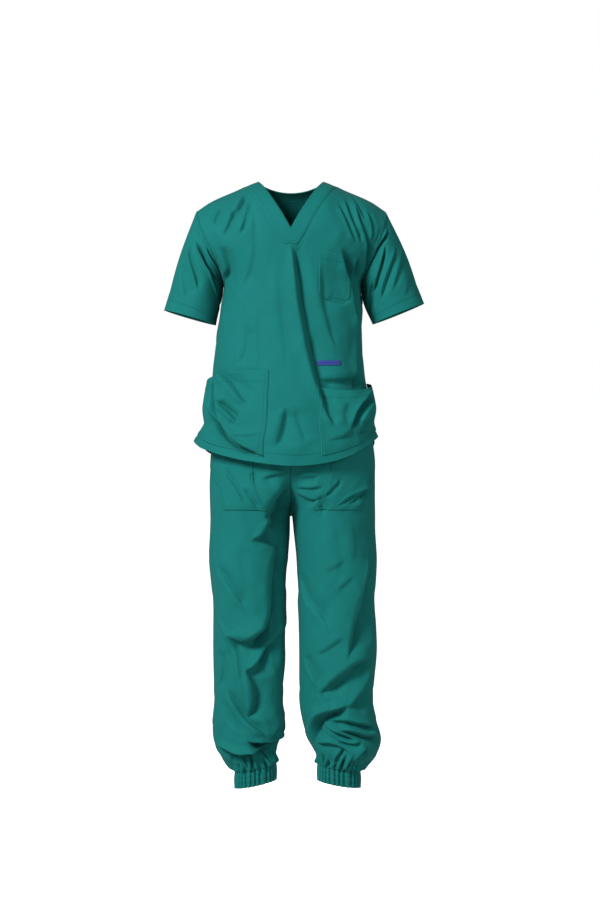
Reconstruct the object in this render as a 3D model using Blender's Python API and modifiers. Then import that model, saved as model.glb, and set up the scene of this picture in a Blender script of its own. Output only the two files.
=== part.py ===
"""Scrub suit worn hollow: a V-neck short-sleeved top over trousers with gathered cuffs.

Metres, +Z up. The front faces -Y and the wearer's left is +X. The origin lies midway
between the two high points of the shoulders, where the wearer carries the suit.
"""

import math

import bmesh
import bpy
from mathutils import Vector

WALL = 0.0012            # cloth thickness
SEAM_GAP = 0.0006        # between two pieces at a seam, before their walls lean together
LAY_LIFT = 0.0020        # a piece that lies on a panel, middle of wall to middle of wall
LAY_EASE = 0.0003        # more, where it crosses folds
POCKET_CORNER_EASE = 0.0012      # more, where a hip pocket's lower corner lies on the flared side

# Top: what its sections share
SHOULDER_ROLL = {"front": 0.130, "back": 0.120}   # height over which the cloth rolls to the ridge
FULLNESS = 0.86          # below 1 squares a section a little
ARMPIT_ROW = 0.677       # share of the side edge that is side seam, the rest is armhole
VENT = {"top": -0.545, "height": 0.050, "left": 0.024, "right": 0.012}

# Sections of the top. left, right: distance of the side edge from the middle.
# turn: how far a quarter section turns from the middle to that edge, in degrees.
TORSO = [
    ("z", "left", "right", "front", "back", "turn"),
    (-0.068, 0.215, 0.215, 0.135, 0.120, 62.0),
    (-0.110, 0.205, 0.206, 0.135, 0.122, 60.0),
    (-0.160, 0.181, 0.184, 0.134, 0.124, 63.0),
    (-0.200, 0.163, 0.169, 0.133, 0.124, 74.0),
    (-0.234, 0.153, 0.159, 0.133, 0.122, 90.0),
    (-0.290, 0.160, 0.163, 0.132, 0.116, 90.0),
    (-0.345, 0.168, 0.161, 0.132, 0.110, 90.0),
    (-0.400, 0.174, 0.164, 0.134, 0.110, 90.0),
    (-0.450, 0.180, 0.169, 0.139, 0.117, 90.0),
    (-0.500, 0.188, 0.179, 0.143, 0.128, 90.0),
    (-0.560, 0.195, 0.188, 0.146, 0.1396, 90.0),
    (-0.600, 0.199, 0.190, 0.147, 0.1430, 90.0),
    (-0.650, 0.200, 0.190, 0.146, 0.1445, 90.0),
]

# Height of the shoulder ridge against the distance from the middle
RIDGE = [
    ("x", "z"),
    (0.000, 0.000), (0.074, 0.000), (0.125, -0.021), (0.180, -0.045), (0.215, -0.068),
]

# Neck edge and the seam between neck band and panels, against the distance from the middle
NECK_POINT = 0.074
BAND_POINT = 0.103
BAND_BLUNT = 0.0155      # half width of the band's flat foot below the neck edge's point
FRONT_NECK = [
    ("x", "z"),
    (0.000, -0.115), (0.017, -0.084), (0.035, -0.0545), (0.055, -0.024), (NECK_POINT, 0.000),
]
FRONT_BAND = [
    ("x", "z"),
    (0.000, -0.146), (BAND_BLUNT, -0.145), (0.042, -0.101), (0.060, -0.069), (0.082, -0.036),
    (BAND_POINT, -0.0120),
]
BACK_NECK_DROP = 0.018
BACK_BAND_DROP = 0.034

# Height of the hem against the share of the width, -1 and 1 at the side seams
HEM = {
    "front": [
        ("across", "z"),
        (-1.00, -0.586), (-0.86, -0.592), (-0.70, -0.604), (-0.48, -0.620), (-0.29, -0.632),
        (0.00, -0.643), (0.25, -0.637), (0.45, -0.621), (0.70, -0.592), (0.86, -0.581),
        (1.00, -0.577),
    ],
    "back": [
        ("across", "z"),
        (-1.00, -0.600), (-0.50, -0.632), (0.00, -0.645), (0.50, -0.630), (1.00, -0.592),
    ],
}

# Sleeves: the hem is an ellipse from its outer to its inner corner
SLEEVES = {
    "left": {"outer": (-0.288, -0.291), "inner": (-0.1735, -0.325), "depth": 0.063, "swell": 0.005},
    "right": {"outer": (0.302, -0.276), "inner": (0.1830, -0.323), "depth": 0.063, "swell": 0.006},
}

ARMPIT_EASE = 0.0024     # the sleeve stands this far out from the side of the body
SWELL_REACH = 0.80       # share of the sleeve's length over which it swells
SLEEVE_FADE = {"start": 0.15, "hem": 0.10, "side": 0.50}     # over which folds fade out

# Pockets on the front panel. inner, outer, mouth, fall and sag are shares of its width and height.
CHEST_POCKET = {"x0": 0.062, "x1": 0.127, "bottom": -0.272, "top": -0.164, "slant": 0.010,
                "gape": 0.0010}
HIP_POCKETS = {
    "left": {"inner": -0.175, "outer": -0.935, "bulge": 0.030},
    "right": {"inner": 0.215, "outer": 0.960, "bulge": 0.024},
}
# Height of a hip pocket's mouth from its inner to its outer corner
POCKET_MOUTH = {
    "left": [("along", "z"), (0.00, -0.430), (0.40, -0.434), (0.70, -0.447), (1.00, -0.464)],
    "right": [("along", "z"), (0.00, -0.464), (0.30, -0.476), (0.50, -0.477), (0.75, -0.470),
              (1.00, -0.458)],
}
HIP_POCKET_FOOT = 0.030      # share of the panel's height left below the pocket
POCKET_FULL = {"shift": 1.25, "square": 0.8, "rise": 0.55}   # where and how fast the hollow fills
LAY_LIMIT = 0.97             # share of the width past which a lay takes the direction found there
LAY_SPAN = 0.02              # share over which that direction is measured
LINE_EASE = 0.006            # a panel's line this close to a patch's edge is left out of the patch
LABEL = {"x": 0.0855, "z": -0.4140, "width": 0.047, "height": 0.0115}

# Folds seen from the front or the back: from (x0, z0) to (x1, z1), depth inwards and half width
FOLD_COLUMNS = ("x0", "z0", "x1", "z1", "depth", "width")
FOLD_END = {"past": 0.15, "fade": 0.35}      # shares of a fold's length past its end and fading out
PANEL_FADE = {"side": 0.16, "top": 0.10}     # shares of a panel over which its folds fade out
TORSO_FOLDS = {
    "front": [
        (0.004, -0.150, 0.024, -0.345, 0.010, 0.013),
        (0.024, -0.345, 0.092, -0.530, 0.009, 0.014),
        (-0.018, -0.150, 0.006, -0.345, -0.006, 0.016),
        (0.112, -0.170, 0.148, -0.330, 0.007, 0.018),
        (-0.008, -0.505, -0.036, -0.610, 0.006, 0.014),
        (0.162, -0.155, 0.156, -0.260, 0.006, 0.012),
        (-0.150, -0.170, -0.140, -0.290, 0.004, 0.013),
    ],
    "back": [
        (-0.060, -0.170, -0.020, -0.420, 0.007, 0.016),
        (0.070, -0.160, 0.035, -0.400, 0.007, 0.016),
        (-0.120, -0.250, -0.080, -0.420, 0.006, 0.014),
        (0.125, -0.260, 0.085, -0.430, 0.006, 0.014),
        (-0.100, -0.430, 0.060, -0.455, 0.005, 0.014),
    ],
}
SLEEVE_FOLDS = {
    "left": [(-0.209, -0.138, -0.160, -0.236, 0.008, 0.011),
             (-0.193, -0.152, -0.161, -0.197, 0.006, 0.009),
             (-0.182, -0.227, -0.168, -0.302, 0.006, 0.010),
             (-0.232, -0.141, -0.211, -0.238, 0.004, 0.012)],
    "right": [(0.222, -0.109, 0.183, -0.247, 0.008, 0.012),
              (0.236, -0.163, 0.204, -0.275, 0.005, 0.012),
              (0.262, -0.180, 0.246, -0.262, 0.004, 0.012)],
}

# Trousers: outer and inner are distances from the middle, turn the angle from side seam to inner edge
LEG_COLUMNS = ("z", "outer", "inner", "front", "back", "turn", "middle")
LEG = {
    "left": [
        LEG_COLUMNS,
        (-0.460, 0.160, 0.0003, 0.1080, 0.1040, 90.0, 0.000),
        (-0.500, 0.165, 0.0003, 0.1120, 0.1150, 90.0, 0.000),
        (-0.560, 0.174, 0.0003, 0.1180, 0.1360, 90.0, 0.000),
        (-0.600, 0.179, 0.0003, 0.1200, 0.1400, 90.0, 0.000),
        (-0.640, 0.182, 0.0003, 0.1200, 0.1400, 93.0, 0.000),
        (-0.680, 0.184, 0.0004, 0.1160, 0.1350, 106.0, 0.000),
        (-0.715, 0.184, 0.0006, 0.1100, 0.1270, 138.0, 0.000),
        (-0.745, 0.184, 0.0012, 0.1050, 0.1190, 168.0, 0.001),
        (-0.790, 0.184, 0.0026, 0.1010, 0.1110, 179.5, 0.002),
        (-0.860, 0.186, 0.0068, 0.0960, 0.1020, 179.5, 0.003),
        (-0.950, 0.178, 0.0092, 0.0900, 0.0940, 179.5, 0.004),
        (-1.062, 0.177, 0.0112, 0.0860, 0.0880, 179.5, 0.006),
        (-1.176, 0.175, 0.0180, 0.0800, 0.0840, 179.5, 0.010),
        (-1.240, 0.179, 0.0140, 0.0800, 0.0860, 179.5, 0.012),
        (-1.275, 0.176, 0.0225, 0.0760, 0.0810, 179.5, 0.013),
        (-1.298, 0.167, 0.0310, 0.0680, 0.0720, 179.5, 0.014),
        (-1.316, 0.149, 0.0340, 0.0580, 0.0590, 179.5, 0.014),
        (-1.3300, 0.1265, 0.0350, 0.0500, 0.0500, 179.5, 0.014),
    ],
    "right": [
        LEG_COLUMNS,
        (-0.460, 0.160, 0.0003, 0.1080, 0.1040, 90.0, 0.000),
        (-0.500, 0.168, 0.0003, 0.1120, 0.1150, 90.0, 0.000),
        (-0.560, 0.180, 0.0003, 0.1180, 0.1360, 90.0, 0.000),
        (-0.600, 0.186, 0.0003, 0.1200, 0.1400, 90.0, 0.000),
        (-0.640, 0.190, 0.0003, 0.1200, 0.1400, 93.0, 0.000),
        (-0.680, 0.191, 0.0004, 0.1160, 0.1350, 106.0, 0.000),
        (-0.715, 0.191, 0.0006, 0.1100, 0.1270, 138.0, 0.000),
        (-0.745, 0.191, 0.0012, 0.1050, 0.1190, 168.0, 0.001),
        (-0.790, 0.191, 0.0055, 0.1010, 0.1110, 179.5, 0.002),
        (-0.860, 0.195, 0.0125, 0.0960, 0.1020, 179.5, 0.003),
        (-0.950, 0.191, 0.0159, 0.0900, 0.0940, 179.5, 0.004),
        (-1.062, 0.195, 0.0182, 0.0860, 0.0880, 179.5, 0.006),
        (-1.176, 0.187, 0.0190, 0.0800, 0.0840, 179.5, 0.010),
        (-1.225, 0.196, 0.0260, 0.0800, 0.0860, 179.5, 0.012),
        (-1.262, 0.205, 0.0360, 0.0800, 0.0840, 179.5, 0.013),
        (-1.290, 0.200, 0.0500, 0.0720, 0.0740, 179.5, 0.014),
        (-1.312, 0.180, 0.0600, 0.0600, 0.0600, 179.5, 0.014),
        (-1.3300, 0.1560, 0.0620, 0.0500, 0.0500, 179.5, 0.014),
    ],
}
FULL_TURN = 179.5
LEG_TOP = -0.4608
LEG_FOOT = -1.3300
WAISTBAND = {"top": -0.424, "bottom": -0.460}
LEG_GATHERS = {"waves": 14, "depth": 0.0040, "reach": 0.034, "shift": 0.4, "side": 0.35}
LEG_TIP_REACH = 0.10     # height above the foot over which a leg takes its cuff's tilt
LEG_FOLD_SIDE = 0.60     # sine of the turn below which folds fade towards the seams
CUFFS = {
    "left": {"middle": (-0.08075, 0.014), "half_width": 0.0450, "half_depth": 0.0490, "tilt": 0.21},
    "right": {"middle": (0.1090, 0.014), "half_width": 0.0465, "half_depth": 0.0490, "tilt": -0.17},
}
CUFF_HEIGHT = 0.036
CUFF_RIBS = 24
CUFF_RIB_DEPTH = 0.0022
CUFF_SWELL = 0.0015      # half way down
SIDE_POCKETS = {"inner": 0.69, "foot": 0.31, "mouth": 0.06, "mouth_top": -0.640,
                "mouth_height": 0.064, "bottom": -0.742, "top": -0.500, "gape": 0.006,
                "even": 0.76}
LEG_FOLDS = {
    "front": {
        "left": [
            (-0.034, -0.714, -0.004, -0.690, 0.006, 0.012),
            (-0.052, -0.800, -0.008, -0.740, 0.007, 0.014),
            (-0.170, -0.878, -0.104, -0.965, 0.007, 0.014),
            (-0.010, -0.976, -0.048, -1.055, 0.011, 0.013),
            (-0.050, -1.055, -0.118, -1.110, 0.010, 0.014),
            (-0.116, -1.108, -0.082, -1.176, 0.008, 0.012),
            (-0.150, -1.155, -0.062, -1.262, 0.009, 0.013),
            (-0.172, -0.945, -0.122, -1.098, -0.007, 0.016),
            (-0.020, -1.217, -0.052, -1.262, 0.008, 0.012),
        ],
        "right": [
            (0.006, -0.692, 0.034, -0.690, 0.005, 0.011),
            (0.178, -0.920, 0.128, -1.085, 0.008, 0.014),
            (0.022, -0.924, 0.092, -1.014, 0.006, 0.014),
            (0.180, -1.085, 0.070, -1.160, 0.011, 0.014),
            (0.122, -1.194, 0.040, -1.228, 0.010, 0.013),
            (0.040, -1.228, 0.050, -1.275, 0.008, 0.012),
            (0.060, -1.236, 0.150, -1.270, 0.007, 0.012),
            (0.100, -1.228, 0.182, -1.242, 0.006, 0.011),
            (0.030, -1.090, 0.064, -1.150, 0.005, 0.013),
        ],
    },
    "back": {
        "left": [
            (-0.150, -0.745, -0.030, -0.715, 0.008, 0.014),
            (-0.140, -0.785, -0.040, -0.750, 0.007, 0.014),
            (-0.165, -0.960, -0.060, -1.010, 0.009, 0.015),
            (-0.150, -1.010, -0.040, -1.050, 0.009, 0.015),
            (-0.160, -1.160, -0.050, -1.190, 0.008, 0.014),
            (-0.150, -1.225, -0.040, -1.250, 0.009, 0.013),
        ],
        "right": [
            (0.035, -0.718, 0.155, -0.750, 0.008, 0.014),
            (0.040, -0.760, 0.140, -0.790, 0.007, 0.014),
            (0.060, -1.000, 0.170, -0.965, 0.009, 0.015),
            (0.045, -1.060, 0.160, -1.020, 0.009, 0.015),
            (0.060, -1.180, 0.170, -1.150, 0.008, 0.014),
            (0.060, -1.245, 0.170, -1.215, 0.009, 0.013),
        ],
    },
}

# How finely each piece is divided
TORSO_GRID = {"front": {"below": 12, "above": 10}, "back": {"below": 10, "above": 9}}
ROW_CROWDING = 1.6       # above the armpit the rows close up towards the shoulder
NECK_COLUMNS = 5         # on each side, between the band's flat foot and its shoulder end
SHOULDER_COLUMNS = 6     # on each side, from there to the armhole
SLEEVE_ROWS = 8
BAND_SHARES = (0.016, 0.5, 1.0)      # from the seam to the free edge
CHEST_POCKET_GRID = {"rows": 7, "columns": 6}
HIP_POCKET_ROWS = 8
NORMAL_STEP = 0.004      # share of a surface over which its direction is measured
LABEL_GRID = {"rows": 1, "columns": 8}
LEG_COLUMNS_ROUND = {"front": 18, "back": 14}
LEG_STRETCHES = [("foot", "rows"), (-0.640, 3), (-0.760, 4), (-1.180, 9), (-1.280, 3), (LEG_FOOT, 4)]
SIDE_POCKET_COLUMNS = 9
WAISTBAND_SIDES = 32
CUFF_DROPS = (1.0, 0.5, 0.0)
POINTS_PER_RIB = 3

GREEN = (0.012, 0.195, 0.180, 1.0)
LABEL_BLUE = (0.060, 0.050, 0.230, 1.0)
ROUGHNESS = 0.75


# --- Reading tables -----------------------------------------------------------------------

def read_table(table, key):
    """Columns of a table by name, smoothly interpolated at a value of its first column."""
    names, rows = table[0], table[1:]
    step = 1 if rows[-1][0] > rows[0][0] else -1
    if (key - rows[0][0]) * step <= 0.0:
        return dict(zip(names, rows[0]))
    if (key - rows[-1][0]) * step >= 0.0:
        return dict(zip(names, rows[-1]))
    low = 0
    while (key - rows[low + 1][0]) * step > 0.0:
        low += 1
    span = rows[low + 1][0] - rows[low][0]
    t = (key - rows[low][0]) / span
    values = [key]
    for column in range(1, len(names)):
        slopes = []
        for at in (low, low + 1):
            before, after = rows[max(at - 1, 0)], rows[min(at + 1, len(rows) - 1)]
            slopes.append((after[column] - before[column]) / (after[0] - before[0]) * span)
        start, end = rows[low][column], rows[low + 1][column]
        values.append((2 * t ** 3 - 3 * t ** 2 + 1) * start + (t ** 3 - 2 * t ** 2 + t) * slopes[0]
                      + (3 * t ** 2 - 2 * t ** 3) * end + (t ** 3 - t ** 2) * slopes[1])
    return dict(zip(names, values))


def smooth_step(value):
    value = min(max(value, 0.0), 1.0)
    return value * value * (3.0 - 2.0 * value)


def spread(start, end, count):
    """Evenly spaced values after start, up to and including end."""
    return [start + (end - start) * (i + 1) / count for i in range(count)]


def fold_depth(folds, x, z):
    """How far the folds of a table move the cloth inwards at a place in the picture plane."""
    total = 0.0
    for row in folds:
        fold = dict(zip(FOLD_COLUMNS, row))
        run_x, run_z = fold["x1"] - fold["x0"], fold["z1"] - fold["z0"]
        length = math.hypot(run_x, run_z)
        along = ((x - fold["x0"]) * run_x + (z - fold["z0"]) * run_z) / length ** 2
        aside = ((x - fold["x0"]) * run_z - (z - fold["z0"]) * run_x) / length
        past, fade = FOLD_END["past"], FOLD_END["fade"]
        ends = smooth_step((along + past) / fade) * smooth_step((1.0 + past - along) / fade)
        total += fold["depth"] * ends * math.exp(-(aside / fold["width"]) ** 2)
    return total


# --- The top ------------------------------------------------------------------------------

def mirrored_height(table, x):
    return read_table(table, abs(x))["z"]


def torso_depth(side, x, z, across_angle):
    """Distance of the cloth from the plane of the side seams."""
    depth = read_table(TORSO, z)[side]
    below_ridge = (mirrored_height(RIDGE, x) - z) / SHOULDER_ROLL[side]
    roll = min(max(below_ridge, 0.0), 1.0)
    rounding = math.sqrt(1.0 - (1.0 - roll) ** 2)
    return depth * max(math.cos(across_angle), 0.0) ** FULLNESS * rounding


def torso_edge(side, z, sign):
    """Distance of the side edge from the middle, and the turn of the section there."""
    section = read_table(TORSO, z)
    name = "left" if sign < 0 else "right"
    edge = section[name]
    if side == "front":
        edge += VENT[name] * smooth_step((VENT["top"] - z) / VENT["height"])
    return edge, math.radians(section["turn"])


def torso_at(side, x, z):
    """Cloth of the top at a place in the picture plane, away from the side edges."""
    edge, turn = torso_edge(side, z, x)
    sine = min(max(abs(x) * math.sin(turn) / edge, 0.0), 1.0)
    depth = torso_depth(side, x, z, math.asin(sine)) + SEAM_GAP / 2
    return Vector((x, -depth if side == "front" else depth, z))


def band_height(side, x):
    if side == "front":
        return mirrored_height(FRONT_BAND, x)
    ridge = mirrored_height(RIDGE, BAND_POINT)
    return -BACK_BAND_DROP + (ridge + BACK_BAND_DROP) * (x / BAND_POINT) ** 2


def neck_height(side, x):
    if side == "front":
        return mirrored_height(FRONT_NECK, x)
    return -BACK_NECK_DROP * (1.0 - (x / NECK_POINT) ** 2)


def top_edge_height(side, across):
    """Height of a panel's upper edge: the band's seam, then the shoulder seam."""
    x = shoulder_place(across)
    if abs(x) < BAND_POINT:
        return band_height(side, x)
    return mirrored_height(RIDGE, x)


def shoulder_place(across):
    edge, turn = torso_edge("back", 0.0, across)
    return math.copysign(edge * math.sin(abs(across) * turn) / math.sin(turn), across)


def torso_panel(side, across, up, folds=True):
    """Point of the front or back panel: across from -1 to 1, up from 0 at the hem to 1."""
    hem = read_table(HEM[side], across)["z"]
    z = hem + (top_edge_height(side, across) - hem) * up
    edge, turn = torso_edge(side, z, across)
    angle = abs(across) * turn
    x = math.copysign(edge * math.sin(angle) / math.sin(turn), across)
    depth = torso_depth(side, x, z, angle) + SEAM_GAP / 2
    if folds:
        fade = smooth_step((1.0 - abs(across)) / PANEL_FADE["side"])
        fade *= smooth_step((1.0 - up) / PANEL_FADE["top"])
        depth -= fold_depth(TORSO_FOLDS[side], x, z) * fade
    return Vector((x, -depth if side == "front" else depth, z))


def torso_columns():
    """Shares of the width at which the panels of the top have a column of points."""
    edge, turn = torso_edge("back", 0.0, 1.0)
    blunt = math.asin(BAND_BLUNT * math.sin(turn) / edge) / turn
    band = math.asin(BAND_POINT * math.sin(turn) / edge) / turn
    half = [blunt] + spread(blunt, band, NECK_COLUMNS) + spread(band, 1.0, SHOULDER_COLUMNS)
    return [-value for value in reversed(half)] + [0.0] + half, band


def torso_rows(side):
    """Shares of the height: even up to the armpit, then closer towards the shoulder."""
    counts = TORSO_GRID[side]
    high = [ARMPIT_ROW + (1.0 - ARMPIT_ROW) * (1.0 - (1.0 - s) ** ROW_CROWDING)
            for s in spread(0.0, 1.0, counts["above"])]
    return [0.0] + spread(0.0, ARMPIT_ROW, counts["below"]) + high


# --- Cloth pieces -------------------------------------------------------------------------

def cloth_piece(name, grid, material, closed=False):
    """Cloth wall on a grid of points, rows[j][i]; closed joins its first and last column."""
    rows, columns = len(grid), len(grid[0])
    bm = bmesh.new()
    bmesh.ops.create_grid(bm, x_segments=columns - 1, y_segments=rows - 1, size=1.0)
    for vert in bm.verts:
        i = round((vert.co.x + 1.0) / 2.0 * (columns - 1))
        j = round((vert.co.y + 1.0) / 2.0 * (rows - 1))
        vert.co = grid[j][i]
    bmesh.ops.triangulate(bm, faces=bm.faces, quad_method="FIXED")
    if closed:
        bmesh.ops.remove_doubles(bm, verts=bm.verts, dist=1e-5)
    mesh = bpy.data.meshes.new(name)
    bm.to_mesh(mesh)
    bm.free()
    mesh.materials.append(material)
    mesh.shade_smooth()
    obj = bpy.data.objects.new(name, mesh)
    suit.objects.link(obj)
    wall = obj.modifiers.new("wall", "SOLIDIFY")
    wall.thickness = WALL
    wall.offset = 0.0
    return obj


def cloth_material(name, colour):
    material = bpy.data.materials.new(name)
    material.use_nodes = True
    shader = material.node_tree.nodes["Principled BSDF"]
    shader.inputs["Base Color"].default_value = colour
    shader.inputs["Roughness"].default_value = ROUGHNESS
    shader.inputs["Metallic"].default_value = 0.0
    return material


def surface_normal(surface, a, b, step=NORMAL_STEP):
    """Direction away from the body at a point of surface(a, b)."""
    run_a = surface(a + step, b) - surface(a - step, b)
    run_b = surface(a, b + step) - surface(a, b - step)
    return run_a.cross(run_b).normalized()


def make_torso_panels():
    across, _ = torso_columns()
    for side, columns in (("front", across), ("back", across[::2])):
        rows = torso_rows(side)
        grid = [[torso_panel(side, c, up) for c in columns] for up in rows]
        panels["top_" + side] = (grid, columns, rows)
        if side == "back":
            grid = [row[::-1] for row in grid]
        cloth_piece("top_" + side, grid, cloth_material("green_" + side, GREEN))


def armhole_loop(sign):
    """Armhole from the shoulder tip down the front to the armpit and up the back."""
    front = [up for up in torso_rows("front") if up >= ARMPIT_ROW - 1e-9]
    back = [up for up in torso_rows("back") if up > ARMPIT_ROW + 1e-9]
    loop = [torso_panel("front", sign, up) for up in reversed(front)]
    armpit = loop[-1].copy()
    armpit.y = 0.0
    loop[-1] = armpit
    loop[0].y = 0.0
    return loop + [torso_panel("back", sign, up) for up in back[:-1]], len(front) - 1


def sleeve_point(name, loop, armpit, index, down):
    """Point of a sleeve: index round the armhole, down from 0 at the armhole to 1 at its hem."""
    size = SLEEVES[name]
    count = len(loop)
    if index <= armpit:
        angle = math.pi * index / armpit
    else:
        angle = math.pi * (1.0 + (index - armpit) / (count - armpit))
    outer, inner = size["outer"], size["inner"]
    middle_x, middle_z = (outer[0] + inner[0]) / 2, (outer[1] + inner[1]) / 2
    half_x, half_z = (outer[0] - inner[0]) / 2, (outer[1] - inner[1]) / 2
    hem = Vector((middle_x + half_x * math.cos(angle), -size["depth"] * math.sin(angle),
                  middle_z + half_z * math.cos(angle)))
    start = loop[index % count]
    low = (1.0 - math.cos(angle)) / 2
    away = (hem - start).normalized()
    start = start + away * SEAM_GAP + Vector((math.copysign(ARMPIT_EASE * low, start.x), 0.0, 0.0))
    point = start.lerp(hem, down)
    swell = size["swell"] * math.sin(math.pi * min(down / SWELL_REACH, 1.0)) * math.cos(angle / 2) ** 2
    radial = Vector((hem.x - middle_x, hem.y, hem.z - middle_z)).normalized()
    point += radial * swell
    if point.y < 0.0:
        front = smooth_step(math.sin(angle) / SLEEVE_FADE["side"])
        fade = front * smooth_step(down / SLEEVE_FADE["start"])
        fade *= smooth_step((1.0 + SLEEVE_FADE["hem"] / 2 - down) / SLEEVE_FADE["hem"])
        point -= radial * fold_depth(SLEEVE_FOLDS[name], point.x, point.z) * fade
    return point


def make_sleeves():
    steps = [0.0] + spread(0.0, 1.0, SLEEVE_ROWS)
    for name, sign in (("left", -1.0), ("right", 1.0)):
        loop, armpit = armhole_loop(sign)
        count = len(loop)
        order = range(count, -1, -1) if sign < 0 else range(count + 1)
        grid = [[sleeve_point(name, loop, armpit, k % count, s) for k in order] for s in steps]
        cloth_piece("sleeve_" + name, grid, cloth_material("green_sleeve_" + name, GREEN), closed=True)


def make_neck_band():
    """Band round the neck between its free edge and the seam with the panels."""
    band = torso_columns()[1]
    loop = []
    for side in ("front", "back"):
        chosen = [c for c in panels["top_" + side][1] if abs(c) <= band + 1e-9]
        if side == "back":
            chosen = chosen[-2:0:-1]
        for c in chosen:
            outer = torso_panel(side, c, 1.0)
            inner_x = outer.x * NECK_POINT / BAND_POINT
            loop.append((side, inner_x, neck_height(side, inner_x), outer))
    grid = []
    for share in BAND_SHARES:
        row = []
        for side, inner_x, inner_z, outer in loop:
            x = outer.x + (inner_x - outer.x) * share
            z = outer.z + (inner_z - outer.z) * share
            point = torso_at(side, x, z)
            if abs(inner_x) > NECK_POINT - 1e-6:
                point.y = 0.0
            row.append(point)
        grid.append(row + [row[0].copy()])
    cloth_piece("neck_band", grid, cloth_material("green_neck_band", GREEN), closed=True)


def grid_point(panel, across, up):
    """Point of a panel's own facets, so that what lies on it follows them."""
    grid, columns, rows = panel
    i = max(k for k in range(len(columns) - 1) if columns[k] <= across + 1e-9)
    j = max(k for k in range(len(rows) - 1) if rows[k] <= up + 1e-9)
    s = (across - columns[i]) / (columns[i + 1] - columns[i])
    t = (up - rows[j]) / (rows[j + 1] - rows[j])
    if s > t:
        return grid[j][i].lerp(grid[j][i + 1], s) + (grid[j + 1][i + 1] - grid[j][i + 1]) * t
    return grid[j][i].lerp(grid[j + 1][i], t) + (grid[j + 1][i + 1] - grid[j + 1][i]) * s


def patch_lines(lines, start, end):
    """A panel's own lines between two edges, with the edges."""
    inside = [line for line in lines if start + LINE_EASE < line < end - LINE_EASE]
    return [start] + inside + [end]


def flat_torso(across, up):
    return torso_panel("front", across, up, folds=False)


def torso_share(x, z):
    """Shares of the front panel's width and height at a place in the picture plane."""
    edge, turn = torso_edge("front", z, x)
    across = math.copysign(math.asin(min(abs(x) * math.sin(turn) / edge, 1.0)) / turn, x)
    hem = read_table(HEM["front"], across)["z"]
    return across, (z - hem) / (top_edge_height("front", across) - hem)


def lay_on_front(across, up, lift):
    """Front panel's own point, moved out: by the lay along its folds, past that straight out."""
    place = min(max(across, -LAY_LIMIT), LAY_LIMIT)
    folded = surface_normal(lambda a, b: torso_panel("front", a, b), place, up, LAY_SPAN)
    plain = surface_normal(flat_torso, place, up)
    point = grid_point(panels["top_front"], across, up) + folded * LAY_LIFT
    return point + plain * lift


def make_chest_pocket():
    size = CHEST_POCKET
    rows, columns = CHEST_POCKET_GRID["rows"], CHEST_POCKET_GRID["columns"]
    grid = []
    for j in range(rows + 1):
        row = []
        for i in range(columns + 1):
            x = size["x0"] + (size["x1"] - size["x0"]) * i / columns
            z = size["bottom"] + (size["top"] - size["bottom"]) * j / rows - size["slant"] * i / columns
            across, up = torso_share(x, z)
            gape = size["gape"] * j / rows * math.sin(math.pi * i / columns)
            row.append(lay_on_front(across, up, LAY_EASE + gape))
        grid.append(row)
    cloth_piece("chest_pocket", grid, cloth_material("green_chest_pocket", GREEN))


def make_hip_pockets():
    """Pockets filled from their mouths: flat at the sewn edges, standing out between them."""
    columns = panels["top_front"][1]
    steps = [0.0] + spread(0.0, 1.0, HIP_POCKET_ROWS)
    for name, size in HIP_POCKETS.items():
        low, high = sorted((size["inner"], size["outer"]))
        grid = []
        for raised in steps:
            row = []
            for across in patch_lines(columns, low, high):
                along = (across - size["inner"]) / (size["outer"] - size["inner"])
                hem = read_table(HEM["front"], across)["z"]
                mouth = read_table(POCKET_MOUTH[name], along)["z"]
                share = (mouth - hem) / (top_edge_height("front", across) - hem)
                up = HIP_POCKET_FOOT + (share - HIP_POCKET_FOOT) * raised
                hollow = math.sin(math.pi * along ** POCKET_FULL["shift"]) ** POCKET_FULL["square"]
                hollow *= smooth_step(raised / POCKET_FULL["rise"])
                corner = POCKET_CORNER_EASE * (1.0 - raised) * along
                row.append(lay_on_front(across, up, LAY_EASE + corner + size["bulge"] * hollow))
            grid.append(row)
        cloth_piece("hip_pocket_" + name, grid, cloth_material("green_hip_pocket_" + name, GREEN))


def make_label():
    size = LABEL
    rows, columns = LABEL_GRID["rows"], LABEL_GRID["columns"]
    grid = []
    for j in range(rows + 1):
        row = []
        for i in range(columns + 1):
            x = size["x"] + size["width"] * (i / columns - 0.5)
            z = size["z"] + size["height"] * (j / rows - 0.5)
            across, up = torso_share(x, z)
            row.append(lay_on_front(across, up, LAY_EASE))
        grid.append(row)
    cloth_piece("pocket_label", grid, cloth_material("label_blue", LABEL_BLUE))


# --- The trousers -------------------------------------------------------------------------

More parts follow.
